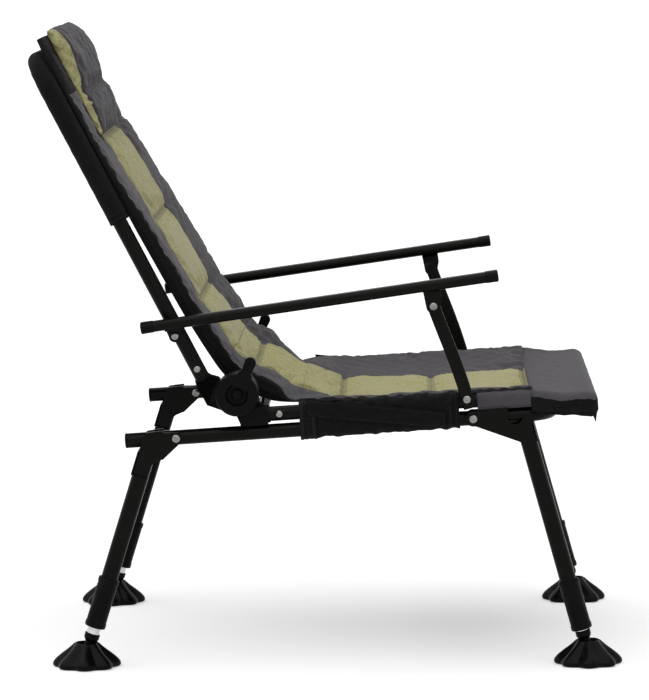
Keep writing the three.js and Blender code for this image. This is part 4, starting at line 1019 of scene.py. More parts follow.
def rivet(origin: list, sign: float, radius: float, height: float, finish: int = 0) -> Form:
    """A domed rivet head with a socket in its middle, proud along +-y from the origin.

    Args:
        origin: centre of the head's seat.
        sign: +1 for a head on the left, -1 on the right.
        radius: head radius.
        height: head height.
        finish: finish number.

    Returns:
        The head.
    """
    turns = np.linspace(0, 1, 7) * math.radians(66)
    dome = [(radius * math.cos(a), height * (0.25 + 0.75 * math.sin(a))) for a in turns]
    sunk, socket = 0.0005, radius * 0.4
    floor = [(socket, height * 0.93), (socket * 0.9, height * 0.45), (0, height * 0.4)]
    return revolved([(0, -sunk), (radius, -sunk), *dome, *floor], origin, [0, sign, 0], 36, finish)


# Recline hinge


@dataclass
class ReclineHinge:
    """One side's hinge: two moulded halves with facing teeth, a bolt, screws and the wing knob."""

    finishes: Finishes
    side: str
    disc: float = 0.032
    half: float = 0.013
    mouth: float = 0.042
    wall: float = 0.0012
    play: float = 0.0003
    parting: float = 0.0010
    tooth: float = 0.0011
    teeth: int = 14
    comb: tuple = (0.016, 0.030)
    screw_inset: float = 0.0175
    bolt_reach: float = 0.037
    knob_depth: float = 0.020
    knob_recess: float = 0.0095
    knob_rim: float = 0.0036
    wing_root: float = 0.013
    wing_tip: float = 0.0085
    wing_reach: float = 0.060
    wing_angle: float = 67.0

    def build(self) -> None:
        """Builds the hinge's pieces."""
        self.sign = SIDES[self.side]
        self.drop = LAYOUT.hinge_rise - LAYOUT.seat_rise
        y = self.sign * LAYOUT.half_track
        seat = Slant(tuple(LAYOUT.rail.at(LAYOUT.hinge_reach, y, LAYOUT.hinge_rise)), -LAYOUT.rake)
        back = Slant(tuple(LAYOUT.back.at(0, y, 0)), -LAYOUT.lean)
        self.half_piece("seat", seat, self.seat_outline(), (-42, -88), -self.sign, -self.drop)
        self.half_piece("back", back, self.back_outline(), (24, 80), self.sign, LAYOUT.back_offset)
        self.knob()
        self.bolt(seat)
        self.screw("seat", seat, -self.drop)
        self.screw("back", back, LAYOUT.back_offset)

    def seat_outline(self) -> Array:
        """Outline of the seat half: its disc on a shoe over the rail."""
        foot = -self.drop - (LAYOUT.seat_rise - LAYOUT.tube) + self.play
        top = -self.drop + LAYOUT.tube + self.wall
        neck = [[self.disc * 1.12, top], [self.disc * 0.985, top + 0.0048]]
        disc = arc(0, 0, self.disc, -16, 260, 60)
        return np.concatenate([[[self.mouth, foot], [self.mouth, top], *neck], disc, [[self.wall, foot]]])

    def back_outline(self) -> Array:
        """Outline of the back half: its disc ahead of a shoe for the back tube."""
        heel = LAYOUT.back_offset + LAYOUT.tube + self.wall
        toe = LAYOUT.back_offset - LAYOUT.tube - self.wall
        disc = arc(0, 0, self.disc, 24, -240, 60)
        corners = [[self.mouth, heel], [self.mouth, toe], [self.mouth * 0.8, toe - LAYOUT.tube * 0.8]]
        return np.concatenate([corners, disc, [[self.mouth * 0.13, heel]]])

    def half_piece(
        self, which: str, slant: Slant, outline: Array, cut: tuple, inner: float, axis: float
    ) -> None:
        """One moulded half: half-thick disc, full-thick shoe, tube collar and teeth.

        Args:
            which: seat or back.
            slant: the half's frame, with the hinge axis as its origin.
            outline: side outline of disc and shoe.
            cut: start and stop angle of the shoe's edge round the other half's disc.
            inner: +1 where the half fills the left of the parting plane, -1 where it fills the right.
            axis: height of the tube's axis.
        """
        low, high = (self.parting, self.half) if inner > 0 else (-self.half, -self.parting)
        clear = self.disc + 0.0005
        shoe = outline[np.hypot(outline[:, 0], outline[:, 1]) > clear - 0.0006]
        solid = np.concatenate([shoe[:3], arc(0, 0, clear, *cut, 14), outline[-1:]])
        forms = [plate(outline, low, high), plate(solid, -self.half, self.half)]
        collar = self.half - 0.0002
        rim = [(0, 0), (collar, 0), (collar, 0.004), (0.0124, 0.0055), (0.0112, 0.0058), (0, 0.0058)]
        forms.append(revolved(rim, [self.mouth - 0.002, 0, axis], AHEAD, 36))
        y = inner * (self.tooth + 0.0001)
        for angle in np.linspace(0, 2 * np.pi, self.teeth, endpoint=False):
            ends = [[reach * math.cos(angle), y, reach * math.sin(angle)] for reach in self.comb]
            forms.append(carried(np.array(ends), circle(self.tooth, 6), ACROSS))
        name, node = f"{which}_half_hinge_{self.side}", f"{which}_hinge_socket_{self.side}"
        rigid(name, forms, slant, [self.finishes.plastic], node, 0.0009)

    def knob(self) -> None:
        """The wing knob: a dished disc with a hub and one wing, whose flanks are quadratic curves."""
        sign, face, disc, rim = self.sign, self.knob_depth, self.disc, self.knob_rim
        floor = face - self.knob_recess
        hub = [(0.0, face - 0.0042), (0.0066, face - 0.0042), (0.0078, face - 0.0052), (0.0082, floor)]
        lip = [(0.0146, floor), (0.0154, floor + 0.001), (0.0168, face - 0.0006), (0.0178, face)]
        edge = [(disc - rim, face), (disc - 0.0012, face - 0.0012), (disc, face - rim), (disc, 0), (0, 0)]
        forms = [revolved(hub + lip + edge, [0, 0, 0], [0, sign, 0], 72)]
        root, tip, reach = self.wing_root, self.wing_tip, self.wing_reach
        t = np.linspace(0, 1, 12)[:, None]
        a, b, c = np.array([0.012, root]), np.array([disc, root]), np.array([disc * 1.16, tip * 0.86])
        flank = (1 - t) ** 2 * a + 2 * t * (1 - t) * b + t**2 * c
        outline = np.concatenate([flank, arc(reach - tip, 0, tip, 90, -90, 16), (flank * [1, -1])[::-1]])
        outline = outline[(outline[:, 0] > 0.0185) | (np.abs(outline[:, 1]) > 0.005)]
        forms.append(plate(outline, *sorted((sign * (face - 0.0125), sign * (face + 0.0012)))))
        y = sign * (face + 0.001)
        for offset in (-0.0042, 0.0, 0.0042):
            ridge = line([disc * 1.18, y, offset], [reach - 0.009, y, offset], 3)
            forms.append(carried(ridge, circle(0.0008, 8), ACROSS))
        x, z = LAYOUT.back.origin[0], LAYOUT.back.origin[2]
        slant = Slant((x, sign * (LAYOUT.half_track + self.half + self.play), z), -self.wing_angle)
        name, node = f"wing_knob_{self.side}", f"recline_knob_{self.side}"
        rigid(name, forms, slant, [self.finishes.plastic], node, 0.0009)

    def bolt(self, seat: Slant) -> None:
        """The hinge bolt: its head on the inner side, and its shank."""
        inner = [0, -self.sign * (self.half + self.play), 0]
        head = [(0, 0), (0.008, 0), (0.008, 0.0012), (0.0066, 0.0036), (0.004, 0.0049), (0, 0.0052)]
        shank = [(0, 0), (0.004, 0), (0.004, self.bolt_reach), (0, self.bolt_reach)]
        forms = [revolved(head, inner, [0, -self.sign, 0]), revolved(shank, inner, [0, self.sign, 0])]
        name, node = f"hinge_bolt_head_{self.side}", f"hinge_bolt_{self.side}"
        rigid(name, forms, seat, [self.finishes.steel], node, 0.0003)

    def screw(self, which: str, slant: Slant, axis: float) -> None:
        """The socket screw that holds one half to its tube, at the height of the tube's axis."""
        at = [self.mouth + self.screw_inset, self.sign * (LAYOUT.tube + self.play), axis]
        name, node = f"{which}_tube_screw_{self.side}", f"{which}_socket_screw_{self.side}"
        rigid(name, [rivet(at, self.sign, 0.0050, 0.0026)], slant, [self.finishes.steel], node, 0)


# Armrests


@dataclass
class Armrest:
    """One armrest: a flat oval tube with end caps, its rear plate, front clevis, rivets and strut."""

    finishes: Finishes
    side: str
    slope: float = 8.0
    pivot_up: float = 0.1183
    pivot_behind: float = 0.006
    line_y: float = 0.305
    rear: float = 0.043
    front: float = 0.480
    half_width: float = 0.0125
    half_height: float = 0.008
    drop_rear: float = 0.0202
    drop_front: float = 0.0309
    front_pivot: float = 0.3837
    cheek: float = 0.009
    gap: float = 0.0006
    sheet: float = 0.0025
    clevis_half: float = 0.0045
    strut_y: float = 0.302
    strut_half: float = 0.0095
    strut_thick: float = 0.004
    strut_tail: float = 0.01425
    strut_extra: float = 0.0215

    def build(self) -> None:
        """Builds the armrest's pieces."""
        self.sign = SIDES[self.side]
        pivot = LAYOUT.back.at(self.pivot_up, 0, LAYOUT.back_offset + self.pivot_behind)
        slant = Slant((float(pivot[0]), self.sign * self.line_y, float(pivot[2])), -self.slope)
        self.arm(slant)
        self.caps(slant)
        self.strut(slant)

    def arm(self, slant: Slant) -> None:
        """The oval tube with its rear plate, its clevis and the rivets of both."""
        sign, r = self.sign, self.cheek
        path = line([-self.rear, 0, self.drop_rear], [self.front, 0, self.drop_rear], 12)
        under = self.drop_rear - self.half_height + self.gap
        near = LAYOUT.half_track + LAYOUT.tube + self.gap - self.line_y
        eye = arc(0, 0, r, 180, 360, 20)
        rear = np.concatenate([[[-r * 1.4, under]], eye, [[r * 1.4, under]]])
        low, high = sorted((sign * near, sign * self.half_width / 2))
        forms = [
            carried(path, stadium(self.half_width, self.half_height, 48), UP),
            plate(rear, *sorted((sign * near, sign * (near + self.sheet)))),
            block((-r * 1.4, low, under - self.sheet), (r * 1.4, high, under)),
        ]
        forms += self.clevis(under)
        finishes = [self.finishes.enamel, self.finishes.steel]
        rigid(f"arm_tube_{self.side}", forms, slant, finishes, f"arm_{self.side}", 0.0005)
        head = rivet([0, sign * (near + 0.0028), 0], sign, 0.0055, 0.0028)
        name, node = f"arm_pivot_rivet_{self.side}", f"arm_rivet_{self.side}"
        rigid(name, [head], slant, [self.finishes.steel], node, 0)

    def clevis(self, top: float) -> list[Form]:
        """The folded clevis that holds the strut, and its rivet.

        Args:
            top: height at which it meets the tube.

        Returns:
            Two cheeks, the web and the rivet's head.
        """
        x, rise, r = self.front_pivot, self.drop_rear - self.drop_front, self.cheek
        toe = rise + (self.drop_front - self.half_height) * 0.45
        corners = [[x + r * 1.5, toe], [x + r * 1.5, top], [x - r * 1.35, top]]
        outline = np.concatenate([arc(x, rise, r * 1.2, 180, 315, 18), corners])
        middle, half = self.sign * (self.strut_y - self.line_y), self.clevis_half
        outer = half + self.sheet
        lows = (middle - half - self.sheet, middle + half)
        forms = [plate(outline, low, low + self.sheet) for low in lows]
        forms.append(block((x - r * 1.35, middle - outer, top - 0.003), (x + r * 1.5, middle + outer, top)))
        forms.append(rivet([x, middle + self.sign * outer, rise], self.sign, 0.0058, 0.0030, 1))
        return forms

    def caps(self, slant: Slant) -> None:
        """The plastic end caps: oval sections that close to a rounded end."""
        section = stadium(self.half_width, self.half_height, 48)
        reach = np.array([-0.0148, -0.0145, 0.0, 0.0004, 0.0006, 0.0026, 0.0036, 0.0042, 0.0044])
        size = np.array([1.005, 1.06, 1.075, 1.09, 1.09, 1.08, 0.99, 0.8, 0.3])
        for end, start, way in (("rear", -self.rear, -1.0), ("front", self.front, 1.0)):
            path = np.stack([start + way * reach, 0 * reach, np.full_like(reach, self.drop_rear)], axis=1)
            name, node = f"arm_end_{end}_{self.side}", f"arm_cap_{end}_{self.side}"
            rigid(name, [carried(path, section, UP, scale=size)], slant, [self.finishes.plastic], node, 0)

    def strut(self, slant: Slant) -> None:
        """The flat bar from the clevis to the seat frame, and its lower rivet.

        Its line is bowed by 4 mm * sin(pi s) * (1 - s), and its top is rounded by a half ellipse.
        """
        x, z = LAYOUT.strut_foot
        top = slant.at(self.front_pivot, 0, self.drop_rear - self.drop_front)
        foot = LAYOUT.rail.at(x, 0, z)
        run, rise = top[0] - foot[0], top[2] - foot[2]
        length = float(np.hypot(run, rise))
        share = np.linspace(0, 1, 40)
        bow = 0.004 * np.sin(np.pi * share) * (1 - share)
        up = -self.strut_tail + (length + self.strut_extra) * share
        past = ((up - (length - 0.002)) / 0.0155).clip(0)
        width = np.minimum(1, np.sqrt(np.clip(1 - past**2, 0.02, 1)))
        path = np.stack([bow, 0 * bow, up], axis=1)
        section = stadium(self.strut_half, self.strut_thick, 32)[:, ::-1]
        form = carried(path, section, AHEAD)
        local = form.points.reshape(len(path), -1, 3)
        local[..., 0] = bow[:, None] + (local[..., 0] - bow[:, None]) * width[:, None]
        tilt = math.degrees(math.atan2(run, rise))
        place = Slant((float(foot[0]), self.sign * self.strut_y, float(foot[2])), tilt)
        bar = Form(local.reshape(-1, 3), form.faces)
        name, node = f"arm_strut_bar_{self.side}", f"arm_strut_{self.side}"
        rigid(name, [bar], place, [self.finishes.enamel], node, 0.0003)
        y = self.sign * (self.strut_y + self.strut_thick + 0.0003)
        name, node = f"strut_foot_rivet_{self.side}", f"strut_rivet_{self.side}"
        head = rivet([x, y, z], self.sign, 0.0058, 0.0030)
        rigid(name, [head], LAYOUT.rail, [self.finishes.steel], node, 0)


# Legs


@dataclass(frozen=True)
class LegKind:
    """What differs between the rear and the front legs, in metres; web and bead are shares of top."""

    end: str
    offset: float
    top: float
    tube_end: float
    splay: float
    pivot_reach: float
    web: tuple[float, float]
    bead: float


REAR_LEG = LegKind("rear", -0.035, 0.0325, 0.295, 17.5, 0.0, (1.06, 2.2), 2.2)
FRONT_LEG = LegKind("front", 0.070, 0.0315, 0.335, 15.4, 0.440, (0.95, 1.82), 1.8)


@dataclass
class Leg:
    """A telescopic leg: channel bracket, outer tube, lock sleeve, inner tube, neck and mud foot."""

    finishes: Finishes
    kind: LegKind
    side: str
    radius: float = 0.0125
    bore: float = 0.0102
    cheek_inner: float = 0.0122
    cheek_wall: float = 0.0025
    web_half: float = 0.0016
    sleeve_over: float = 0.063
    sleeve_length: float = 0.076
    sleeve_radius: float = 0.0150
    sleeve_bore: float = 0.0130
    sleeve_floor: float = 0.0035
    lip: float = 0.0158
    rib: float = 0.0002
    ribs: int = 4
    inner_radius: float = 0.0095
    inner_wall: float = 0.0014
    inner_length: float = 0.170
    collar: float = 0.0125
    collar_radius: float = 0.0113
    waist: float = 0.0076
    neck: float = 0.019
    ankle_height: float = 0.020
    lobes: int = 8
    pleat: float = 3.4
    sag: float = 2.6

    def build(self) -> None:
        """Builds the leg's pieces in its own frame, upright, and puts them in place."""
        kind = self.kind
        pivot = LAYOUT.rail.at(kind.pivot_reach, SIDES[self.side] * LAYOUT.half_track, 0)
        tilt = -math.copysign(kind.splay, kind.offset)
        turn = math.radians(tilt)
        drop = pivot[2] - kind.offset * math.sin(turn)
        self.ankle = (drop - self.ankle_height) / math.cos(turn)
        self.slant = Slant(tuple(pivot), tilt)
        self.tag = f"{kind.end}_{self.side}"
        self.tube()
        self.lock()
        self.inner()
        self.foot()
        self.pivot_rivet()

    def upright(self, profile: list, count: int = 44) -> Form:
        """A profile turned about the leg tubes' axis."""
        return revolved(profile, [self.kind.offset, 0, 0], UP, count)

    def rear_cheek(self) -> Array:
        """Side outline of the rear bracket."""
        axis, top, r = self.kind.offset, self.kind.top, self.radius
        edge, eye = axis - r, 0.0093
        head = [
            [edge, -2.2 * top], [edge, -0.45 * top], [edge + 0.0016, -0.16 * top], [0.6 * axis, 0.19 * top]
        ]
        tail = [[0.26 * axis, -1.06 * top], [axis + r, -1.42 * top], [axis + 0.7 * r, -2.2 * top]]
        return np.concatenate([rounded(head, 0.004, 4), arc(0, 0, eye, 90, -38, 16), rounded(tail, 0.004, 4)])

    def front_cheek(self) -> Array:
        """Side outline of the front bracket, with the cradle cut that shows the tube."""
        axis, top, r = self.kind.offset, self.kind.top, self.radius
        edge, eye = axis + r + 0.0016, 0.0114
        low = [[edge, -1.82 * top], [edge - 1.7 * r, -1.88 * top], [axis - r, -1.7 * top]]
        cradle = arc(0.86 * axis, -0.44 * top, 0.155 * axis, 172, 350, 18)
        head = [arc(0, 0, eye, -90, -298, 26), [[0.76 * axis, 0.09 * top]]]
        tail = [[edge - 0.0016, -0.42 * top], [edge, -0.78 * top]]
        return np.concatenate([rounded(low, 0.003, 4), *head, cradle, tail])

    def tube(self) -> None:
        """Outer tube with its channel bracket, web and weld beads."""
        k, end, bore = self.kind, -self.kind.tube_end, self.bore
        head = [(0, -k.top), (0.0112, -k.top), (self.radius, -k.top - 0.0013)]
        mouth = [(self.radius, end), (bore, end), (bore, end + 0.03), (0, end + 0.03)]
        outline = self.rear_cheek() if k is REAR_LEG else self.front_cheek()
        inner, outer = self.cheek_inner, self.cheek_inner + self.cheek_wall
        forms = [self.upright(head + mouth), plate(outline, -outer, -inner), plate(outline, inner, outer)]
        out = math.copysign(1, k.offset)
        near, far = sorted(k.offset + out * (self.radius + step) for step in (-self.web_half, self.web_half))
        start, stop = k.web
        forms.append(block((near, -outer, -stop * k.top), (far, outer, -start * k.top)))
        for y in (-inner, inner):
            z = -k.bead * k.top
            bead = line([k.offset - 0.006, y, z], [k.offset + 0.006, y, z], 4)
            forms.append(carried(bead, circle(0.0015, 10), AHEAD + ACROSS))
        node = f"leg_tube_{self.tag}"
        rigid(f"leg_outer_{self.tag}", forms, self.slant, [self.finishes.enamel], node, 0.0006)

    def lock(self) -> None:
        """The lock sleeve with a flared lip and grip ribs."""
        top = -self.kind.tube_end + self.sleeve_over
        low = top - self.sleeve_length
        body, lip, bore = self.sleeve_radius, self.lip, self.sleeve_bore
        head = [
            (bore, top - 0.004), (bore + 0.0002, top), (lip - 0.0006, top), (lip, top - 0.0008),
            (lip, top - 0.006), (body, top - 0.008),
        ]
        rib = [(body, 0), (body + self.rib, 0.0008), (body + self.rib, 0.0026), (body, 0.0034)]
        ribs = [(r, top - 0.012 - 0.0052 * i - d) for i in range(self.ribs) for r, d in rib]
        floor, hole = low + self.sleeve_floor, 0.0100
        tail = [
            (body, low + 0.009), (lip, low + 0.007), (lip, low + 0.0012), (lip - 0.001, low), (hole, low),
            (hole, floor),
        ]
        inside = [(hole, floor), (bore, floor), (bore, top - 0.004)]
        forms = [self.upright(head + ribs + tail), self.upright(inside)]
        node = f"lock_sleeve_{self.tag}"
        rigid(f"height_lock_{self.tag}", forms, self.slant, [self.finishes.plastic], node, 0)

    def inner(self) -> None:
        """The silver inner tube and the moulded neck in its end."""
        collar = -(self.ankle - self.neck - self.collar)
        top = -(self.kind.tube_end + self.sleeve_length - self.sleeve_over) + self.inner_length
        r, wall = self.inner_radius, self.inner_wall
        shell = [(r - wall, collar), (r, collar), (r, top), (r - wall, top), (r - wall, collar)]
        node = f"inner_tube_{self.tag}"
        rigid(f"leg_inner_{self.tag}", [self.upright(shell, 40)], self.slant, [self.finishes.silver], node, 0)
        c, waist, plug = self.collar_radius, self.waist, r - 0.002
        foot = collar - self.collar - self.neck
        profile = [
            (0, collar + 0.010), (plug, collar + 0.010), (plug, collar - 0.0002),
            (c - 0.0006, collar - 0.0002), (c, collar - 0.001), (c, collar - 0.0075),
            (0.0098, collar - 0.0105), (waist, collar - 0.0128),
            (waist, foot + 0.004), (0.0066, foot - 0.004), (0.004, foot - 0.0068), (0, foot - 0.0074),
        ]
        eye = [(0, -0.0061), (waist, -0.0061), (waist, 0.0061), (0, 0.0061)]
        forms = [self.upright(profile, 40), revolved(eye, [self.kind.offset, 0, foot], ACROSS, 36)]
        node = f"foot_neck_{self.tag}"
        rigid(f"foot_joint_{self.tag}", forms, self.slant, [self.finishes.plastic], node, 0.0004)

    def foot(self) -> None:
        """The mud foot: a pleated dome of eight lobes round a mouth, flat underneath, in mm.

        With wave = 1 - |cos(lobes * t / 2)| ** 1.6: radius = R(v) - pleat * P(v) * wave, and height = H(v)
        - sag * wave near the rim, with the profiles R, H and P smoothed.
        """
        ankle = self.slant.at(self.kind.offset, 0, -self.ankle)
        keys = np.array([
            (0, 4, 0), (36, 4, 0.6), (40, 0, 1), (46.3, 0, 1.6), (50.6, 1.6, 2), (51.35, 5.0, 2),
            (49.8, 9, 2.1), (45.2, 14, 2.0), (37, 20.7, 1.6), (27, 28, 0.9), (20, 34, 0.4),
            (17.2, 37, 0.2), (16.0, 36.6, 0), (14.5, 26, 0), (12.4, 12, 0), (0, 8, 0),
        ])
        step = travelled(keys[:, :2])
        v = np.linspace(0, step[-1], 90)
        profile = np.stack([np.interp(v, step, column) for column in keys.T], axis=1)
        radius, height, pleat = smoothed(profile, 2).T
        radius[[0, -1]] = 0
        height = np.maximum(height, 0)
        t = np.linspace(0, 2 * np.pi, 144, endpoint=False)
        wave = 1 - np.abs(np.cos(self.lobes / 2 * t)) ** 1.6
        ridge = np.exp(-((radius - 38) / 12) ** 2) * (height > 8)
        r = radius[:, None] - self.pleat * pleat[:, None] * wave[None] * (radius[:, None] > 0)
        z = height[:, None] - self.sag * ridge[:, None] * wave[None]
        points = np.stack([r * np.cos(t), r * np.sin(t), z], axis=-1) * MM + [ankle[0], ankle[1], 0.0]
        dome = Form(points.reshape(-1, 3), grid_faces(len(v), len(t), round_columns=True).tolist())
        pin = revolved([(0, -0.025), (0.0036, -0.025), (0.0036, 0.025), (0, 0.025)], ankle, ACROSS, 24, 1)
        finishes = [self.finishes.foot, self.finishes.steel]
        rigid(f"mud_foot_dome_{self.tag}", [dome, pin], CHAIR, finishes, f"mud_foot_{self.tag}", 0)

    def pivot_rivet(self) -> None:
        """The leg's pivot rivet with a head on each cheek and its shank."""
        face = self.cheek_inner + self.cheek_wall + 0.0003
        shank = [(0, -face), (0.004, -face), (0.004, face), (0, face)]
        forms = [rivet([0, way * face, 0], way, 0.0061, 0.0032) for way in (-1.0, 1.0)]
        forms.append(revolved(shank, [0, 0, 0], ACROSS, 20))
        node = f"leg_rivet_{self.tag}"
        rigid(f"leg_pivot_rivet_{self.tag}", forms, self.slant, [self.finishes.steel], node, 0)


# Padded cover


@dataclass
class PaddedCover:
    """The mattress cover from head to front: sewn olive channels between grey bolsters, black beneath.

    One sheet is filled as a whole and then parted into the back, lumbar and seat cushions.
    """

    finishes: Finishes
    panel: float = 0.140
    crown: float = 0.0062
    near_arch: float = 0.0004
    far_arch: float = 0.0115
    lumbar_arch: float = 0.0175
    seat_arch: float = 0.0016
    seat_crown: float = 0.0088
    step: float = 0.0066
    hem: int = 2
    pillow_run: float = 0.093
    seams_back: tuple = (0.424, 0.278, 0.140)
    seam_lumbar: tuple = (-0.1056, 0.4355)
    seams_seat: tuple = (0.242, 0.380, 0.524)
    back_end: float = 0.046
    seat_begin: float = 0.172
    hinge_disc: float = 0.032
    lumbar_half: float = 0.258
    bolster_columns: int = 20
    piping: float = 0.004
    no_seam: float = 0.05
    fold_pitch: float = 0.047
    fold_height: float = 0.0021
    fan_pitch: float = 0.040
    fan_spread: float = 0.018
    fan_height: float = 0.0034
    crease: float = 0.0004
    hollow_crease: float = 0.0022
    wrinkle: float = 0.0002
    gather_reach: float = 0.020
    gather_depth: float = 0.0030
    gather_rise: float = 0.0012
    bolster_crease: float = 0.0005
    lumbar_reach: float = 0.09

    def keys(self) -> tuple[Array, Array]:
        """Side lines of the cover: its face and its back, each in the middle and at the tubes.

        Returns:
            Points, stations by line by x and z, and the half width at each station.
        """
        rows, widths = [], []
        back = [
            (0.598, 0.0240, 0.0235, 0.015, 0.252), (0.575, 0.0240, 0.0235, 0.015, 0.268),
            (0.548, 0.0240, 0.0235, 0.015, 0.276), (0.424, 0.0242, 0.0238, 0.015, 0.276),
            (0.355, 0.0280, 0.0275, 0.015, 0.276), (0.285, 0.0310, 0.0345, 0.015, 0.276),
            (0.200, 0.0342, 0.0398, 0.017, 0.276), (0.140, 0.0362, 0.0420, 0.019, 0.276),
            (0.083, 0.0440, 0.0470, 0.023, 0.273), (self.back_end, 0.0485, 0.0500, 0.026, 0.265),
        ]
        for p, face, side, rear, width in back:
            a, b, c = (LAYOUT.back.at(p, 0, behind(q))[[0, 2]] for q in (face, side, rear))
            rows.append([a, b, c, c])
            widths.append(width)
        lumbar = [
            ((0.17, 1.06), (-0.61, 0.72)), ((0.48, 0.88), (-0.23, 0.31)), ((0.73, 0.78), (0.2, 0.03)),
            ((1.08, 0.64), (0.7, -0.16)), ((1.83, 0.20), (1.64, -0.5)),
        ]
        hinge = np.array(LAYOUT.back.origin)[[0, 2]]
        for shares in lumbar:
            face, under = hinge + np.array(shares) * self.hinge_disc
            rows.append([face, face, under, under])
            widths.append(self.lumbar_half)
        seat = [
            (self.seat_begin, 0.0515, 0.262), (0.205, 0.0345, 0.2795), (0.242, 0.0165, 0.281),
            (0.300, 0.0108, 0.281), (0.379, 0.0092, 0.281), (0.480, 0.0078, 0.281), (0.530, 0.0125, 0.281),
        ]
        crests = [self.seat_begin, 0.205, 0.242, 0.300], [0.0414, 0.0424, 0.0426, 0.0404]
        for s, face, width in seat:
            crest = float(np.interp(s, *crests))
            heights = (face, crest, max(face - 0.0095, 0.0042), crest - 0.0026)
            rows.append([LAYOUT.rail.at(s, 0, height)[[0, 2]] for height in heights])
            widths.append(width)
        return np.array(rows), np.array(widths)

    def layout(self) -> None:
        """Works out the stations, the columns and the seams."""
        rows, widths = self.keys()
        length = travelled(rows[:, 0])
        fine = np.arange(0, length[-1], 0.001)
        table = np.concatenate([rows.reshape(len(rows), -1), widths[:, None]], axis=1)
        dense = np.stack([np.interp(fine, length, column) for column in table.T], axis=1)
        dense = smoothed(dense, 16)
        run = travelled(dense[:, :2])
        places = [LAYOUT.back.at(p, 0, behind(0.03)) for p in (*self.seams_back, self.back_end)]
        places.append(np.array([self.seam_lumbar[0], 0, self.seam_lumbar[1]]))
        places += [LAYOUT.rail.at(s, 0, 0.017) for s in (self.seat_begin, *self.seams_seat)]
        marks = [self.find(dense, place) for place in places]
        stops = [0.0, *(run[i] for i in marks), run[-1]]
        places, at = [np.array([0.0])], [0]
        for low, high in zip(stops[:-1], stops[1:]):
            count = max(2, round((high - low) / self.step))
            places.append(np.linspace(low, high, count + 1)[1:])
            at.append(at[-1] + count)
        self.run = np.concatenate(places)
        values = np.stack([np.interp(self.run, run, column) for column in dense.T], axis=1)
        self.lines = values[:, :8].reshape(-1, 4, 2)
        self.width = values[:, 8]
        self.seams = [*at[1:4], at[5], *at[7:10]]
        self.split = (at[4], at[6])
        inner = round(2 * self.panel / self.step / 2) * 2
        outer = self.bolster_columns
        middle = np.linspace(-1, 1, inner + 1)
        edge = np.linspace(0, 1, outer + 1)[1:]
        self.inside = (outer, outer + inner)
        share = np.concatenate([-(1 + edge[::-1]), middle, 1 + edge])
        beyond = np.abs(share) - 1
        wide = self.panel + beyond * (self.width[:, None] - self.panel)
        self.y = np.where(beyond > 0, np.sign(share) * wide, share * self.panel)
        self.share = share

    def find(self, dense: Array, point: Array) -> int:
        """The dense station nearest to a point, seen from the side."""
        return int(np.argmin(np.hypot(dense[:, 0] - point[0], dense[:, 1] - point[2])))

    def surface(self, line_middle: int) -> Array:
        """A layer without its padding: middle + (tube - middle) * min(1, |y| / half cover) ** 3.2."""
        rise = np.minimum(1, np.abs(self.y) / LAYOUT.half_cover) ** 3.2
        middle, tube = self.lines[:, line_middle], self.lines[:, line_middle + 1]
        side = middle[:, None] + rise[..., None] * (tube - middle)[:, None]
        return np.stack([side[..., 0], self.y, side[..., 1]], axis=-1)

    def lift(self) -> Array:
        """Height of the padding over the face line.

        Channels: crown * (1 - |a| ** 8) ** 0.5 * (1 - |b| ** 8) ** 0.5 between seams; bolsters: a sine arch.
        Folds: cosines across the channel, faded out towards its seams.
        """
        rows = len(self.y)
        stops = [0, *self.seams, rows - 1]
        local = np.zeros(rows)
        channel = np.zeros(rows, int)
        for number, (low, high) in enumerate(zip(stops[:-1], stops[1:])):
            span = (self.run[low : high + 1] - self.run[low]) / (self.run[high] - self.run[low])
            local[low : high + 1] = 2 * span - 1
            channel[low : high + 1] = number
        self.channel, self.local = channel, local
        a = np.clip(np.abs(self.share), 0, 1)
        box_a = np.sqrt(np.clip(1 - a**8, 0, 1))[None]
        box_b = np.sqrt(np.clip(1 - np.abs(local) ** 8, 0, 1))[:, None]
        crown = np.where(channel > 4, self.seat_crown, self.crown) * (channel > 0)
        puff = crown[:, None] * box_a * box_b
        beyond = np.clip(np.abs(self.share) - 1, 0, 1)[None]
        far = (self.share > 0)[None]
        on_seat = (channel > 3)[:, None]
        past = self.run - self.run[self.seams[3]]
        bend = np.exp(-((past / np.where(past > 0, 0.020, 0.085)) ** 2))[:, None]
        high = self.far_arch + (self.lumbar_arch - self.far_arch) * bend
        high = np.where(on_seat, self.seat_arch + (self.lumbar_arch - self.seat_arch) * bend, high)
        low = np.where(on_seat, self.seat_arch, self.near_arch)
        arch = np.where(far, high * np.sin(np.pi * beyond**1.25), low * np.sin(np.pi * beyond**0.85))
        arch = np.where((channel == 0)[:, None], 0.6 * arch * np.clip((beyond - 0.42) / 0.2, 0, 1), arch)
        edge = -0.0010 * (beyond >= 1) - 0.0005 * (beyond > 0.94)
        return puff + arch + edge + self.folds(box_a, box_b, beyond)

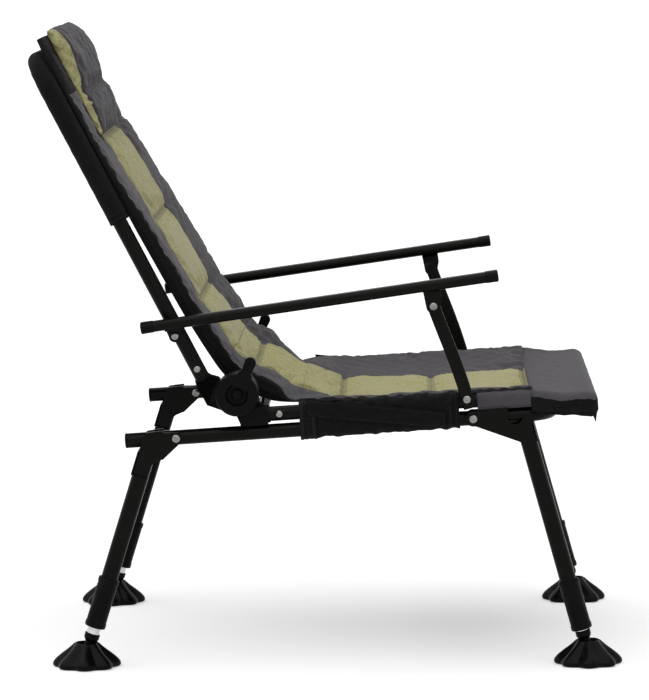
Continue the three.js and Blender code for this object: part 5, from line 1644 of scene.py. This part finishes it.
    def folds(self, box_a: Array, box_b: Array, beyond: Array) -> Array:
        """Creases of each channel and the gathers of the bolsters at each seam."""
        shape = self.y.shape
        y, local, channel = self.y, self.local[:, None], self.channel[:, None]
        drift = lumps(shape, 5, (6, 2))
        long_folds = np.cos(2 * np.pi * y / self.fold_pitch + 1.1 * drift + 0.8)
        long_folds = long_folds * (0.35 + 0.65 * np.clip(local + 1, 0, 1))
        pitch = self.fan_pitch + self.fan_spread * (local + 1)
        fan = np.cos(2 * np.pi * y / pitch + 2.2 * local + 0.9 * drift)
        small = lumps(shape, 11, (60, 26), 10)
        fine = lumps(shape, 23, (110, 60), 12)
        made = self.fold_height * long_folds * (channel == 1) + self.fan_height * fan * (channel == 4)
        made = made + self.crease * small + self.hollow_crease * small * (channel == 3) * np.clip(local, 0, 1)
        made = made + self.wrinkle * fine
        made = made * np.minimum(1, 3 * box_a * box_b) * (beyond <= 0) * (channel > 0)
        places = self.run[:, None]
        gather = np.zeros(shape)
        for row in self.seams:
            away = (places - self.run[row]) / self.gather_reach
            reach = np.exp(-((beyond - 0.1) / 0.42) ** 2) * (beyond > 0)
            gather -= self.gather_depth * np.exp(-(away**2) * 1.6) * reach
            rim = np.exp(-((np.abs(away) - 1.1) ** 2) * 2.2) * reach
            gather += self.gather_rise * rim * (1 + 0.5 * small)
        creases = self.bolster_crease * small * np.sin(np.pi * np.clip(beyond, 0, 1)) * (beyond > 0)
        lumbar = np.exp(-(((places - self.run[self.seams[3]]) / self.lumbar_reach) ** 2))
        creases = creases * (1 + 1.6 * lumbar)
        return made + gather + creases

    def seam_fields(self) -> tuple[Array, Array]:
        """Distance to the nearest seam and the place along it, over the whole cover."""
        along = self.run[:, None] + 0 * self.y
        gap = np.abs(np.abs(self.y) - self.panel)
        run = along.copy()
        inside = np.abs(self.y) <= self.panel + 1e-6
        for row in self.seams:
            away = np.abs(along - self.run[row])
            nearer = inside & (away < gap)
            gap, run = np.where(nearer, away, gap), np.where(nearer, self.y, run)
        return gap, run

    def build(self) -> None:
        """Fills the sheet and parts it into the three cushions."""
        self.layout()
        base = self.surface(0)
        middle = self.lines[:, 0]
        direction = np.gradient(middle, axis=0)
        direction /= np.linalg.norm(direction, axis=1)[:, None]
        normal = smoothed(np.stack([-direction[:, 1], direction[:, 0]], axis=1), 3)
        if normal[:, 0].sum() < 0:
            normal = -normal
        normal /= np.linalg.norm(normal, axis=1)[:, None]
        out = np.stack([normal[:, 0], 0 * normal[:, 0], normal[:, 1]], axis=1)
        start = base + self.lift()[..., None] * out[:, None]
        rows, columns = self.y.shape
        low, high = self.inside
        sewn = np.zeros((rows, columns), bool)
        sewn[:, [0, low, high, columns - 1]] = True
        sewn[[0, rows - 1]] = True
        for row in self.seams:
            sewn[row, low : high + 1] = True
        covered = (self.channel == 0)[:, None] & (np.abs(self.y) < 0.192)
        sewn |= covered
        faces = grid_faces(rows, columns)
        filled = Filling(pressure=1.4, slack=0.028, cap=0.0038).run(start.reshape(-1, 3), faces, sewn.ravel())
        points = filled.reshape(rows, columns, 3)
        gap, run = self.seam_fields()
        uv = np.stack([self.y, self.run[:, None] + 0 * self.y], axis=-1)
        under = self.surface(2)
        whole = ClothGrid(points, uv, gap, run)
        first, second = self.split
        self.part("back_cushion", whole, under, 0, first, "back_pad")
        self.part("lumbar_cushion", whole, under, first, second, "lumbar_pad")
        self.part("seat_cushion", whole, under, second, rows - 1, "seat_pad")

    def part(self, name: str, whole: ClothGrid, under: Array, low: int, high: int, node: str) -> None:
        """One cushion: its face, side walls with a piped edge, and the black underside.

        Args:
            name: piece name.
            whole: the filled face of the whole cover.
            under: the underside of the whole cover.
            low: first row.
            high: last row.
            node: CAD node it stands for.
        """
        face = whole.rows(low, high).refined()
        below = halved(under[low : high + 1])
        rows, columns = face.points.shape[:2]
        shares = np.array([0.18, 0.36, 0.46, 0.52, 0.58, 0.72, 0.88])[None, :, None]
        bulge = np.array([1.6, 2.2, 3.4, 3.8, 2.2, 2.4, 1.2])[None, :, None] * MM * ACROSS
        walls = []
        for way, column in ((1.0, -1), (-1.0, 0)):
            edge, foot = face.points[:, column, None], below[:, column, None]
            walls.append(edge + (foot - edge) * shares + way * bulge)
        loop = np.concatenate([face.points, walls[0], below[:, ::-1], walls[1][:, ::-1]], axis=1)
        count = loop.shape[1]
        wall = walls[0].shape[1]
        along = np.cumsum(np.linalg.norm(np.diff(loop, axis=1, prepend=loop[:, :1]), axis=2), axis=1)
        place = face.uv[:, :1]
        uv = np.stack([along + place[..., 0], np.repeat(place[..., 1], count, axis=1)], axis=-1)
        piped = np.full((rows, count - columns), self.no_seam)
        piped[:, [3, -4]] = self.piping
        gap = np.concatenate([face.gap, piped], axis=1)
        run = np.concatenate([face.run, np.repeat(place[..., 1], count - columns, axis=1)], axis=1)
        across = np.arange(count)
        inside = (across >= 2 * self.inside[0]) & (across < 2 * self.inside[1])
        grey = (across >= self.hem) & (across < columns - 1 - self.hem)
        marks = np.repeat(np.where(inside, 0, np.where(grey, 1, 2))[None], rows - 1, axis=0)
        marks[(place[:-1, :, 1] < self.pillow_run) & ~inside[None]] = 2
        materials = [self.finishes.olive, self.finishes.grey, self.finishes.black]
        piece = soft(name, ClothGrid(loop, uv, gap, run), materials, marks, round_columns=True)
        self.close_ends(piece, rows, count, columns, wall)
        face_outwards(piece)
        stand_for(piece, node)
        if node == "lumbar_pad":
            start = LAYOUT.back.at(self.back_end, 0, behind(0.050))
            end = LAYOUT.rail.at(self.seat_begin, 0, 0.043)
            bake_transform(piece)
        else:
            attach(piece, body_of(node))

    def close_ends(self, piece: Piece, rows: int, count: int, columns: int, wall: int) -> None:
        """Closes both ends of a cushion with a strip between its face and its underside."""
        upper = range(columns)
        lower = range(2 * columns + wall - 1, columns + wall - 1, -1)
        strips = [((upper[j], upper[j + 1], lower[j + 1], lower[j]), True) for j in range(columns - 1)]
        right = range(columns - 1, columns + wall + 1)
        left = (0, *range(count - 1, count - wall - 2, -1))
        with edited(piece.data) as work:
            for row in (0, rows - 1):
                for ring, smooth in (*strips, (right, False), (left, False)):
                    made = work.faces.new([work.verts[row * count + i] for i in ring])
                    made.material_index, made.smooth = 1, smooth


@dataclass
class HeadPillow:
    """The head pillow: two grey puffs over a seam, with gathered olive ends."""

    finishes: Finishes
    half: float = 0.182
    panel: float = 0.156
    low: float = 0.428
    top: float = 0.604
    seam: float = 0.499
    rear: float = 0.0256
    depth: float = 0.0255
    front_rows: int = 760
    least: float = 0.0016
    fold_pitch: float = 0.0235
    fold_height: float = 0.0034
    crumple: float = 0.0030
    ripple: float = 0.0003
    ruffle: float = 0.0016

    def build(self) -> None:
        """Builds the pillow: a closed loop of sections across it, filled by simulation."""
        count, around = 73, 84
        across = np.linspace(-1, 1, count)
        y = across * self.half
        t = np.linspace(0, 1, around, endpoint=False)
        places, depth = self.outline(t)
        side = np.clip((np.abs(y) - self.panel) / (self.half - self.panel), 0, 1)
        stations = [self.low, self.seam, self.seam + 0.02, self.seam + 0.07]
        at_seam = np.interp(places, stations, [0.46, 0.30, 0.50, 0.86])[:, None]
        inside = np.sqrt(np.clip(1 - (np.abs(y)[None] / self.panel) ** 5, 0, 1))
        swell = (at_seam + (1 - at_seam) * inside) * (1 - 0.72 * side[None])
        shape = (around, count)
        crumple = lumps(shape, 31, (16, 50), 14)
        fold = np.sin(2 * np.pi * places[:, None] / self.fold_pitch + 1.3 * crumple + 5 * side[None])
        fold = fold * (places[:, None] > self.seam - 0.03)
        p = places[:, None] + 0.003 * side[None] ** 2 * (0.516 - places[:, None]) / 0.09
        p = p + self.ruffle * side[None] * lumps(shape, 37, (20, 30), 9)
        front = depth[:, None] > 0.001
        gathers = (self.crumple * crumple + self.fold_height * fold) * np.minimum(1, 2 * side[None]) * front
        q = self.rear + depth[:, None] * swell + gathers + self.ripple * lumps(shape, 41, (9, 14)) * front
        q = np.maximum(q, self.rear + self.least * front)
        ruffle = self.ruffle * lumps(shape, 43, (18, 20), 9)
        ruffle = ruffle + self.crumple * fold * np.sin(np.pi * side[None])
        y_grid = y[None] + side[None] * ruffle - np.sign(y)[None] * self.ruffle * (side[None] > 0)
        local = np.stack([p, y_grid, behind(q)], axis=-1)
        points = LAYOUT.back.put(local)
        sewn = np.zeros(shape, bool)
        sewn[depth < 0.0015] = True
        nearest = int(np.argmin(np.abs(places - self.seam) + (depth < 0.01) * 9))
        sewn[nearest, 6:-6] = True
        sewn[:, [0, -1]] = True
        folds = np.abs(np.abs(y) - self.panel).argsort()[:2]
        sewn[:, folds] = True
        faces = grid_faces(around, count, round_rows=True)
        loose = np.broadcast_to(side[None] > 0.05, shape).astype(float)
        filling = Filling(pressure=0.8, slack=0.03, extra=0.16, cap=0.006, bending=0.2)
        points = filling.run(points.reshape(-1, 3), faces, sewn.ravel(), loose.ravel())
        points = points.reshape(around, count, 3)
        length = travelled(np.stack([places, depth], axis=1))
        uv = np.stack(np.broadcast_arrays(y[None], length[:, None]), axis=-1)
        gap_side = 1.8 * np.abs(np.abs(y) - self.panel)[None] + 0 * p
        gap_seam = 2.5 * np.abs(length - length[nearest])[:, None] + 0 * p
        use = (gap_seam < gap_side) & (np.abs(y)[None] < self.panel)
        gap, run = np.where(use, gap_seam, gap_side), np.where(use, uv[..., 0], uv[..., 1])
        closed = ClothGrid(*(np.concatenate([v, v[:1]]) for v in (points, uv, gap, run))).refined()
        rows, columns = closed.points.shape[:2]
        marks = np.zeros((rows - 1, columns - 1), int)
        middle = (np.arange(columns - 1) + 0.5) / (columns - 1) * 2 - 1
        marks[:, np.abs(middle) * self.half > self.panel] = 1
        depth_fine = halved(np.concatenate([depth, depth[:1]])[:, None] * np.ones((1, 3)))[:, 0]
        marks[(depth_fine[:-1] < 0.0012) & (depth_fine[1:] < 0.0012)] = 2
        materials = [self.finishes.grey, self.finishes.olive, self.finishes.black]
        piece = soft("head_cushion", closed, materials, marks)
        self.close(piece, rows, columns)
        stand_for(piece, "head_pillow")
        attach(piece, body_of("head_pillow"))

    def outline(self, t: Array) -> tuple[Array, Array]:
        """Side outline of the pillow, once round, from places past low, seam and top and shares of the depth.

        Args:
            t: share of the way round.

        Returns:
            Places up the back, and depths ahead of its rear face.
        """
        lower = [(0, 0), (0.004, 0.16), (0.016, 0.50), (0.038, 0.76)]
        middle = [(-0.014, 0.84), (-0.004, 0.70), (0, 0.60), (0.004, 0.72), (0.020, 0.95), (0.052, 1.02)]
        middle.append((0.082, 0.90))
        upper = [(-0.010, 0.70), (-0.003, 0.5), (0, 0.2), (-0.001, 0)]
        ends = ((self.low, lower), (self.seam, middle), (self.top, upper), (self.low, [(0, 0)]))
        keys = np.array([(start + step, share * self.depth) for start, run in ends for step, share in run])
        length = travelled(keys)
        fine = np.linspace(0, 1, 900)
        path = np.stack([np.interp(fine * length[-1], length, column) for column in keys.T], axis=1)
        path[: self.front_rows] = smoothed(path[: self.front_rows], 9)
        return np.interp(t, fine, path[:, 0]), np.clip(np.interp(t, fine, path[:, 1]), 0, None)

    def close(self, piece: Piece, rows: int, columns: int) -> None:
        """Closes both ends with one face each, and merges the seam of the loop."""
        with edited(piece.data) as work:
            for column in (0, columns - 1):
                made = work.faces.new([work.verts[row * columns + column] for row in range(rows - 1)])
                made.material_index, made.smooth = 1, True
        face_outwards(piece, 1e-6)


# Sheets


@dataclass
class FrontPocket:
    """The grey pocket of the seat cover, folded over the front bar and down the sides; where it turns down it
    takes the black cloth as painted shade.

    A flat sheet is folded down beyond the bar and the side tubes: with e the distance beyond the fold,
    outward = R sin(e / R) and drop = R (1 - cos(e / R)), and straight down after a quarter turn.
    """

    finishes: Finishes
    start: float = 0.527
    radius: float = 0.0137
    drop_side: float = 0.020
    # fall past which the pocket takes the black cloth, as painted shade on its down-turned faces
    painted_shade_fall: float = 0.0115
    drop_front: float = 0.012
    side_seam: float = 0.262

    def build(self) -> None:
        """Builds the pocket."""
        quarter = self.radius * math.pi / 2
        half = LAYOUT.half_track
        side_reach = half + quarter + self.drop_side
        front_reach = LAYOUT.front_bar + quarter + self.drop_front
        over_bar = np.linspace(LAYOUT.front_bar, front_reach, 16)[1:]
        a = np.concatenate([np.linspace(self.start, LAYOUT.front_bar, 34), over_bar])
        b = np.linspace(half, side_reach, 18)[1:]
        b = np.concatenate([-b[::-1], np.linspace(-half, half, 121), b])
        a, b = np.meshgrid(a, b, indexing="ij")
        ea, eb = np.maximum(0, a - LAYOUT.front_bar), np.maximum(0, np.abs(b) - half)
        e = np.hypot(ea, eb)
        turn = np.minimum(e / self.radius, np.pi / 2)
        outward = self.radius * np.sin(turn)
        fall = self.radius * (1 - np.cos(turn)) + np.minimum(np.maximum(0, e - quarter), 0.034)
        unit_a, unit_b = ea / np.maximum(e, 1e-9), eb / np.maximum(e, 1e-9)
        s = np.minimum(a, LAYOUT.front_bar) + outward * unit_a
        y = np.sign(b) * (np.minimum(np.abs(b), half) + outward * unit_b)
        height = self.top(np.minimum(a, LAYOUT.front_bar), np.minimum(np.abs(b), half))
        n = height - fall + self.waves(s.shape, fall)
        points = LAYOUT.rail.put(np.stack([s, y, n], axis=-1))
        uv = np.stack([b, a], axis=-1)
        hem = np.minimum(front_reach - a, side_reach - np.abs(b))
        gap = np.minimum(np.abs(a - self.start) + 0.0005, np.abs(hem - 0.003) + 0.001)
        gap = np.minimum(gap, np.abs(np.abs(b) - self.side_seam))
        run = np.where((np.abs(a - self.start) >= 0.02) & (np.abs(b) > 0.25), a, b)
        grid = ClothGrid(points, uv, gap, run).refined()
        # painted shade: past this fall the pocket takes the black cloth, standing for the shade on its
        # down-turned faces
        marks = halved(fall[..., None])[:-1, :-1, 0] > self.painted_shade_fall
        piece = soft("front_pocket", grid, [self.finishes.grey, self.finishes.black], marks)
        face_towards(piece, UP)
        flat = (round(2 * side_reach, 3), round(front_reach - self.start, 3))
        stretched(piece, "seat_pad", 0.0024, flat, "seat_frame", area=round(area_of(grid.points), 4))

    def top(self, s: Array, y: Array) -> Array:
        """Height of the top: sagging in the middle, up to the tubes at the sides and over the front bar."""
        crest = seat_tube_height(s) + self.radius
        sag = np.interp(s, [0.527, 0.545, 0.577, 0.612], [0.0150, 0.0200, 0.0250, 0.0287])
        return sag + (crest - sag) * np.minimum(1, y / LAYOUT.half_cover) ** 3.2

    def waves(self, shape: tuple, fall: Array) -> Array:
        """Ripples of the cloth, larger towards the hem and the front corners."""
        loose = np.clip(fall / 0.03, 0, 1)
        return 0.0004 * lumps(shape, 61, (7, 16), 10) + 0.0016 * loose * lumps(shape, 67, (3, 12), 8)


@dataclass
class TubeSleeve:
    """The black pocket of the back cover, drawn over the top of the back frame."""

    finishes: Finishes
    low: float = 0.305
    radius: float = 0.0143
    reach: float = 0.0115
    nose: float = 0.004

    def build(self) -> None:
        """Builds the sleeve: a drop-shaped section, carried along the frame's bent top.

        The section is the hull of a round about the tube and a small round against the pad: where
        reach * cos + nose > radius for a direction, with cos its share towards the pad, the point is the
        small round's, else the large one's.
        """
        h, o = LAYOUT.half_track, LAYOUT.back_offset
        top, count, around = LAYOUT.back_length, 220, 40
        corners = [[self.low, h, o], [top, h, o], [top, -h, o], [self.low, -h, o]]
        path = bent(corners, [LAYOUT.back_corner] * 2, 16)
        length = travelled(path)
        place = np.linspace(0, length[-1], count)
        path = np.stack([np.interp(place, length, column) for column in path.T], axis=1)
        ripple = lumps((count, around), 71, (60, 3), 10)
        hem = np.exp(-((np.minimum(place, place[-1] - place) / 0.006) ** 2))
        radius = self.radius + 0.0002 * np.clip(ripple, -1.2, 1.2) + 0.0005 * hem[:, None]
        ring = carried(path, circle(1.0, around), UP).points.reshape(count, around, 3) - path[:, None]
        ahead = -self.reach * ring[..., 2] + self.nose > radius
        small = ring * self.nose - self.reach * UP
        points = LAYOUT.back.put(path[:, None] + np.where(ahead[..., None], small, ring * radius[..., None]))
        round_it = np.linspace(0, 2 * np.pi * self.radius, around + 1)
        uv = np.stack(np.broadcast_arrays(round_it[None], place[:, None]), axis=-1)
        closed = np.concatenate([points, points[:, :1]], axis=1)
        gap = np.abs(np.minimum(place, place[-1] - place) - 0.009)[:, None] + 0 * uv[..., 0]
        grid = ClothGrid(closed, uv, gap, uv[..., 0].copy())
        piece = soft("back_frame_sleeve", grid, [self.finishes.black])
        face_outwards(piece, 1e-6)
        flat = (round(2 * math.pi * self.radius, 4), round(float(length[-1]), 3))
        stretched(piece, "back_sleeve", 0.0016, flat, "back_frame_tube")


@dataclass(frozen=True)
class Band:
    """A band of cloth round both side tubes."""

    label: str
    start: float
    end: float
    proud: float
    stations: int
    lump: float
    seed: int


WRAP = Band("side_wrap", 0.188, 0.420, 0.0, 120, 0.0012, 81)
STRAP = Band("wrap_strap", 0.184, 0.208, 0.0019, 14, 0.0003, 83)


@dataclass
class SideWrap:
    """The black wrap that ties the seat cover round both side tubes, its flap and strap, and the grey hem."""

    finishes: Finishes
    side: str
    radius: float = 0.0136
    around: int = 64
    flap_start: float = 0.196
    flap_run: float = 0.204
    flap_flat: tuple = (0.206, 0.052)
    hem_start: float = 0.4475
    hem_end: float = 0.5300
    hem_low: float = 0.0125
    hem_turned: float = 0.74
    hem_radius: float = 0.0123
    hem_flat: tuple = (0.0825, 0.042)

    def build(self) -> None:
        """Builds the wrap, the strap, the flap and the hem."""
        self.y = SIDES[self.side] * LAYOUT.half_track
        self.band(WRAP, self.finishes.black)
        self.band(STRAP, self.finishes.loop)
        self.flap()
        self.hem()

    def section(self, radius: float) -> Array:
        """Outline round both tubes: half rounds about each tube's axis joined by straights."""
        y, z = (radius * circle(1.0, self.around)).T
        return np.stack([y, z + np.where(z > 0, LAYOUT.seat_rise, 0.0)], axis=1)

    def band(self, band: Band, finish: Material) -> None:
        """A band round both tubes, with ripples of its own and a thicker edge at both ends."""
        s = np.linspace(band.start, band.end, band.stations)
        outline = self.section(self.radius + band.proud)
        ripple = np.clip(lumps((band.stations, self.around), band.seed, (14, 5), 10), -1.1, 1.3)
        ray = outline - [0.0, LAYOUT.seat_rise / 2]
        ray /= np.linalg.norm(ray, axis=1)[:, None]
        taper = np.exp(-(((s - band.start) / 0.004) ** 2)) + np.exp(-(((band.end - s) / 0.004) ** 2))
        shape = outline[None] + (band.lump * ripple + 0.0006 * taper[:, None])[..., None] * ray[None]
        stations = np.broadcast_to(s[:, None], ripple.shape)
        points = np.stack([stations, self.y + shape[..., 0], shape[..., 1]], axis=-1)
        closed = np.concatenate([points, points[:, :1]], axis=1)
        run = np.linspace(0, 2 * math.pi * self.radius + 2 * LAYOUT.seat_rise, self.around + 1)
        uv = np.stack(np.broadcast_arrays(run[None], s[:, None]), axis=-1)
        gap = np.abs(np.minimum(s - band.start, band.end - s) - 0.0085)[:, None] + 0 * uv[..., 0]
        grid = ClothGrid(LAYOUT.rail.put(closed), uv, gap, uv[..., 0].copy())
        piece = soft(f"{band.label}_{self.side}", grid, [finish])
        face_outwards(piece, 1e-6)
        flat = (round(float(run[-1]), 4), round(band.end - band.start, 3))
        stretched(piece, f"side_wrap_{self.side}", 0.0013, flat, "lower_frame_tube")

    def flap(self) -> None:
        """The hook-and-loop flap: a tapering sheet over the wrap's outside, bowed round the lower tube."""
        u, v = np.meshgrid(np.linspace(0, 1, 60), np.linspace(0, 1, 22), indexing="ij")
        s = self.flap_start + self.flap_run * u
        top, low = 0.0465 - 0.033 * u, 0.0195 - 0.032 * u
        n = low + (top - low) * v
        under = np.clip(-n, 0, self.radius)
        tucked = 0.0035 * np.clip((n - 0.032) / 0.014, 0, 1) ** 2
        ripple = 0.0009 * np.clip(lumps(u.shape, 91, (5, 2), 8), -1.5, 1.5)
        bow = np.sqrt((self.radius + 0.0030) ** 2 - under**2) - tucked + ripple + 0.0012 * v**6
        along = np.minimum(s - self.flap_start, self.flap_start + self.flap_run - s)
        gap = np.minimum(along, np.minimum(n - low, top - n)) + 0.0015
        self.outside("wrap_flap", s, bow, n, np.stack([s, n], axis=-1), gap, s + n, self.finishes.black)

    def hem(self) -> None:
        """The grey hem of the seat cover, over the side tube and down its outside, ahead of the strut.

        Round the tube from its inner upper side to its outside, then straight down to the hem.
        """
        ends, start = (self.hem_start, self.hem_end), 0.70 * math.pi
        s, t = np.meshgrid(np.linspace(*ends, 44), np.linspace(0, 1, 34), indexing="ij")
        tube = seat_tube_height(s)
        angle = start * (1 - np.clip(t / self.hem_turned, 0, 1))
        down = np.clip((t - self.hem_turned) / (1 - self.hem_turned), 0, 1) * (tube - self.hem_low)
        bow = self.hem_radius + 0.0003 * np.clip(lumps(s.shape, 97, (6, 3), 8), -1.2, 1.2)
        n = tube + bow * np.sin(angle) - down
        along = self.hem_radius * (start - angle) + down
        gap = np.abs(along[:, -1:] - along) + 0.0012
        uv = np.stack([along, s], axis=-1)
        self.outside("side_hem", s, bow * np.cos(angle), n, uv, gap, s.copy(), self.finishes.grey)

    def outside(
        self, label: str, s: Array, out: Array, n: Array, uv: Array, gap: Array, run: Array, finish: Material
    ) -> None:
        """An open sheet on the tubes' outer side.

        Args:
            label: name of the piece without its side.
            s: places along the rail.
            out: distances outwards from the tubes' plane.
            n: heights over the rail's axis.
            uv: the flat cloth.
            gap: distance to the nearest seam.
            run: place along it.
            finish: material.
        """
        way = SIDES[self.side]
        points = LAYOUT.rail.put(np.stack([s, self.y + way * out, n], axis=-1))
        piece = soft(f"{label}_{self.side}", ClothGrid(points, uv, gap, run), [finish])
        face_towards(piece, way * ACROSS + UP)
        area = round(area_of(points), 5)
        if label == "wrap_flap":
            wrap = f"side_wrap_{self.side}"
            stretched(piece, wrap, 0.0012, self.flap_flat, wrap, False, area=area)
        else:
            stretched(piece, "seat_pad", 0.0011, self.hem_flat, "seat_frame", area=area)


# Studio


@dataclass
class Studio:
    """Pale floor, soft daylight-like lamps and the photograph's camera."""

    place: tuple = (0.1339, -6.3306, 1.1452)
    yaw: float = 1.26
    pitch: float = 6.35
    roll: float = -0.57
    lens: float = 212.0
    world: float = 0.30
    floor_glow: float = 0.395

    def build(self) -> None:
        """Builds the studio."""
        self.camera()
        self.lamps()
        self.surroundings()
        self.floor()
        bpy.context.scene.view_settings.view_transform = "Standard"

    def camera(self) -> None:
        """The camera, looking across the chair from its right side."""
        yaw, pitch, roll = (math.radians(a) for a in (self.yaw, self.pitch, self.roll))
        ahead = Vector((-math.sin(yaw) * math.cos(pitch), math.cos(yaw) * math.cos(pitch), -math.sin(pitch)))
        right = Vector((math.cos(yaw), math.sin(yaw), 0))
        up = right.cross(ahead)
        c, s = math.cos(roll), math.sin(roll)
        right, up = c * right + s * up, -s * right + c * up
        data = bpy.data.cameras.new("photo_camera")
        data.lens, data.sensor_width, data.clip_end = self.lens, 36.0, 200.0
        camera = linked("photo_camera", data)
        camera.matrix_world = Matrix((right, up, -ahead)).transposed().to_4x4()
        camera.location = self.place
        bpy.context.scene.camera = camera

    def lamps(self) -> None:
        """A broad lamp overhead and a weaker one from the front."""
        lamps = (("overhead", 1.80, 80, (8, -12, 0)), ("front", 0.30, 60, (58, 0, 24)))
        for name, energy, angle, turn in lamps:
            sun = bpy.data.lights.new(name, "SUN")
            sun.energy, sun.angle = energy, math.radians(angle)
            linked(name, sun).rotation_euler = tuple(math.radians(a) for a in turn)

    def surroundings(self) -> None:
        """A white world for the camera and reflections, weaker as light."""
        world = bpy.data.worlds.new("studio")
        bpy.context.scene.world = world
        world.use_nodes = True
        nodes = Nodes(world.node_tree)
        back = world.node_tree.nodes["Background"]
        nodes.feed(back.inputs["Strength"], nodes.span(nodes.seen(), 0.0, 1.0, self.world, 1.0))
        back.inputs["Color"].default_value = (1, 1, 1, 1)

    def floor(self) -> None:
        """A wide pale floor that keeps the chair's shadow and shows white to the camera."""
        mesh = bpy.data.meshes.new("studio_floor")
        reach = 60.0
        corners = [(-reach, -reach, 0), (reach, -reach, 0), (reach, reach, 0), (-reach, reach, 0)]
        mesh.from_pydata(corners, [], [(0, 1, 2, 3)])
        floor = linked("studio_floor", mesh)
        recipe = Recipe("studio_floor")
        recipe.set(Base_Color=(0.86, 0.86, 0.86, 1), Roughness=0.9, Specular_IOR_Level=0.1)
        glow = recipe.sum("MULTIPLY", recipe.seen(), self.floor_glow)
        recipe.set(Emission_Color=(1, 1, 1, 1), Emission_Strength=glow)
        mesh.materials.append(recipe.material)


def main() -> None:
    """Builds the studio and the chair."""
    logging.basicConfig(level=logging.INFO, format="%(name)s: %(message)s")
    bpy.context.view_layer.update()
    Studio().build()
    finishes = Finishes()
    TubeFrames(finishes).build()
    for side in SIDES:
        ReclineHinge(finishes, side).build()
        Armrest(finishes, side).build()
        SideWrap(finishes, side).build()
        for kind in (REAR_LEG, FRONT_LEG):
            Leg(finishes, kind, side).build()
    PaddedCover(finishes).build()
    HeadPillow(finishes).build()
    FrontPocket(finishes).build()
    TubeSleeve(finishes).build()


if __name__ == "__main__":
    main()
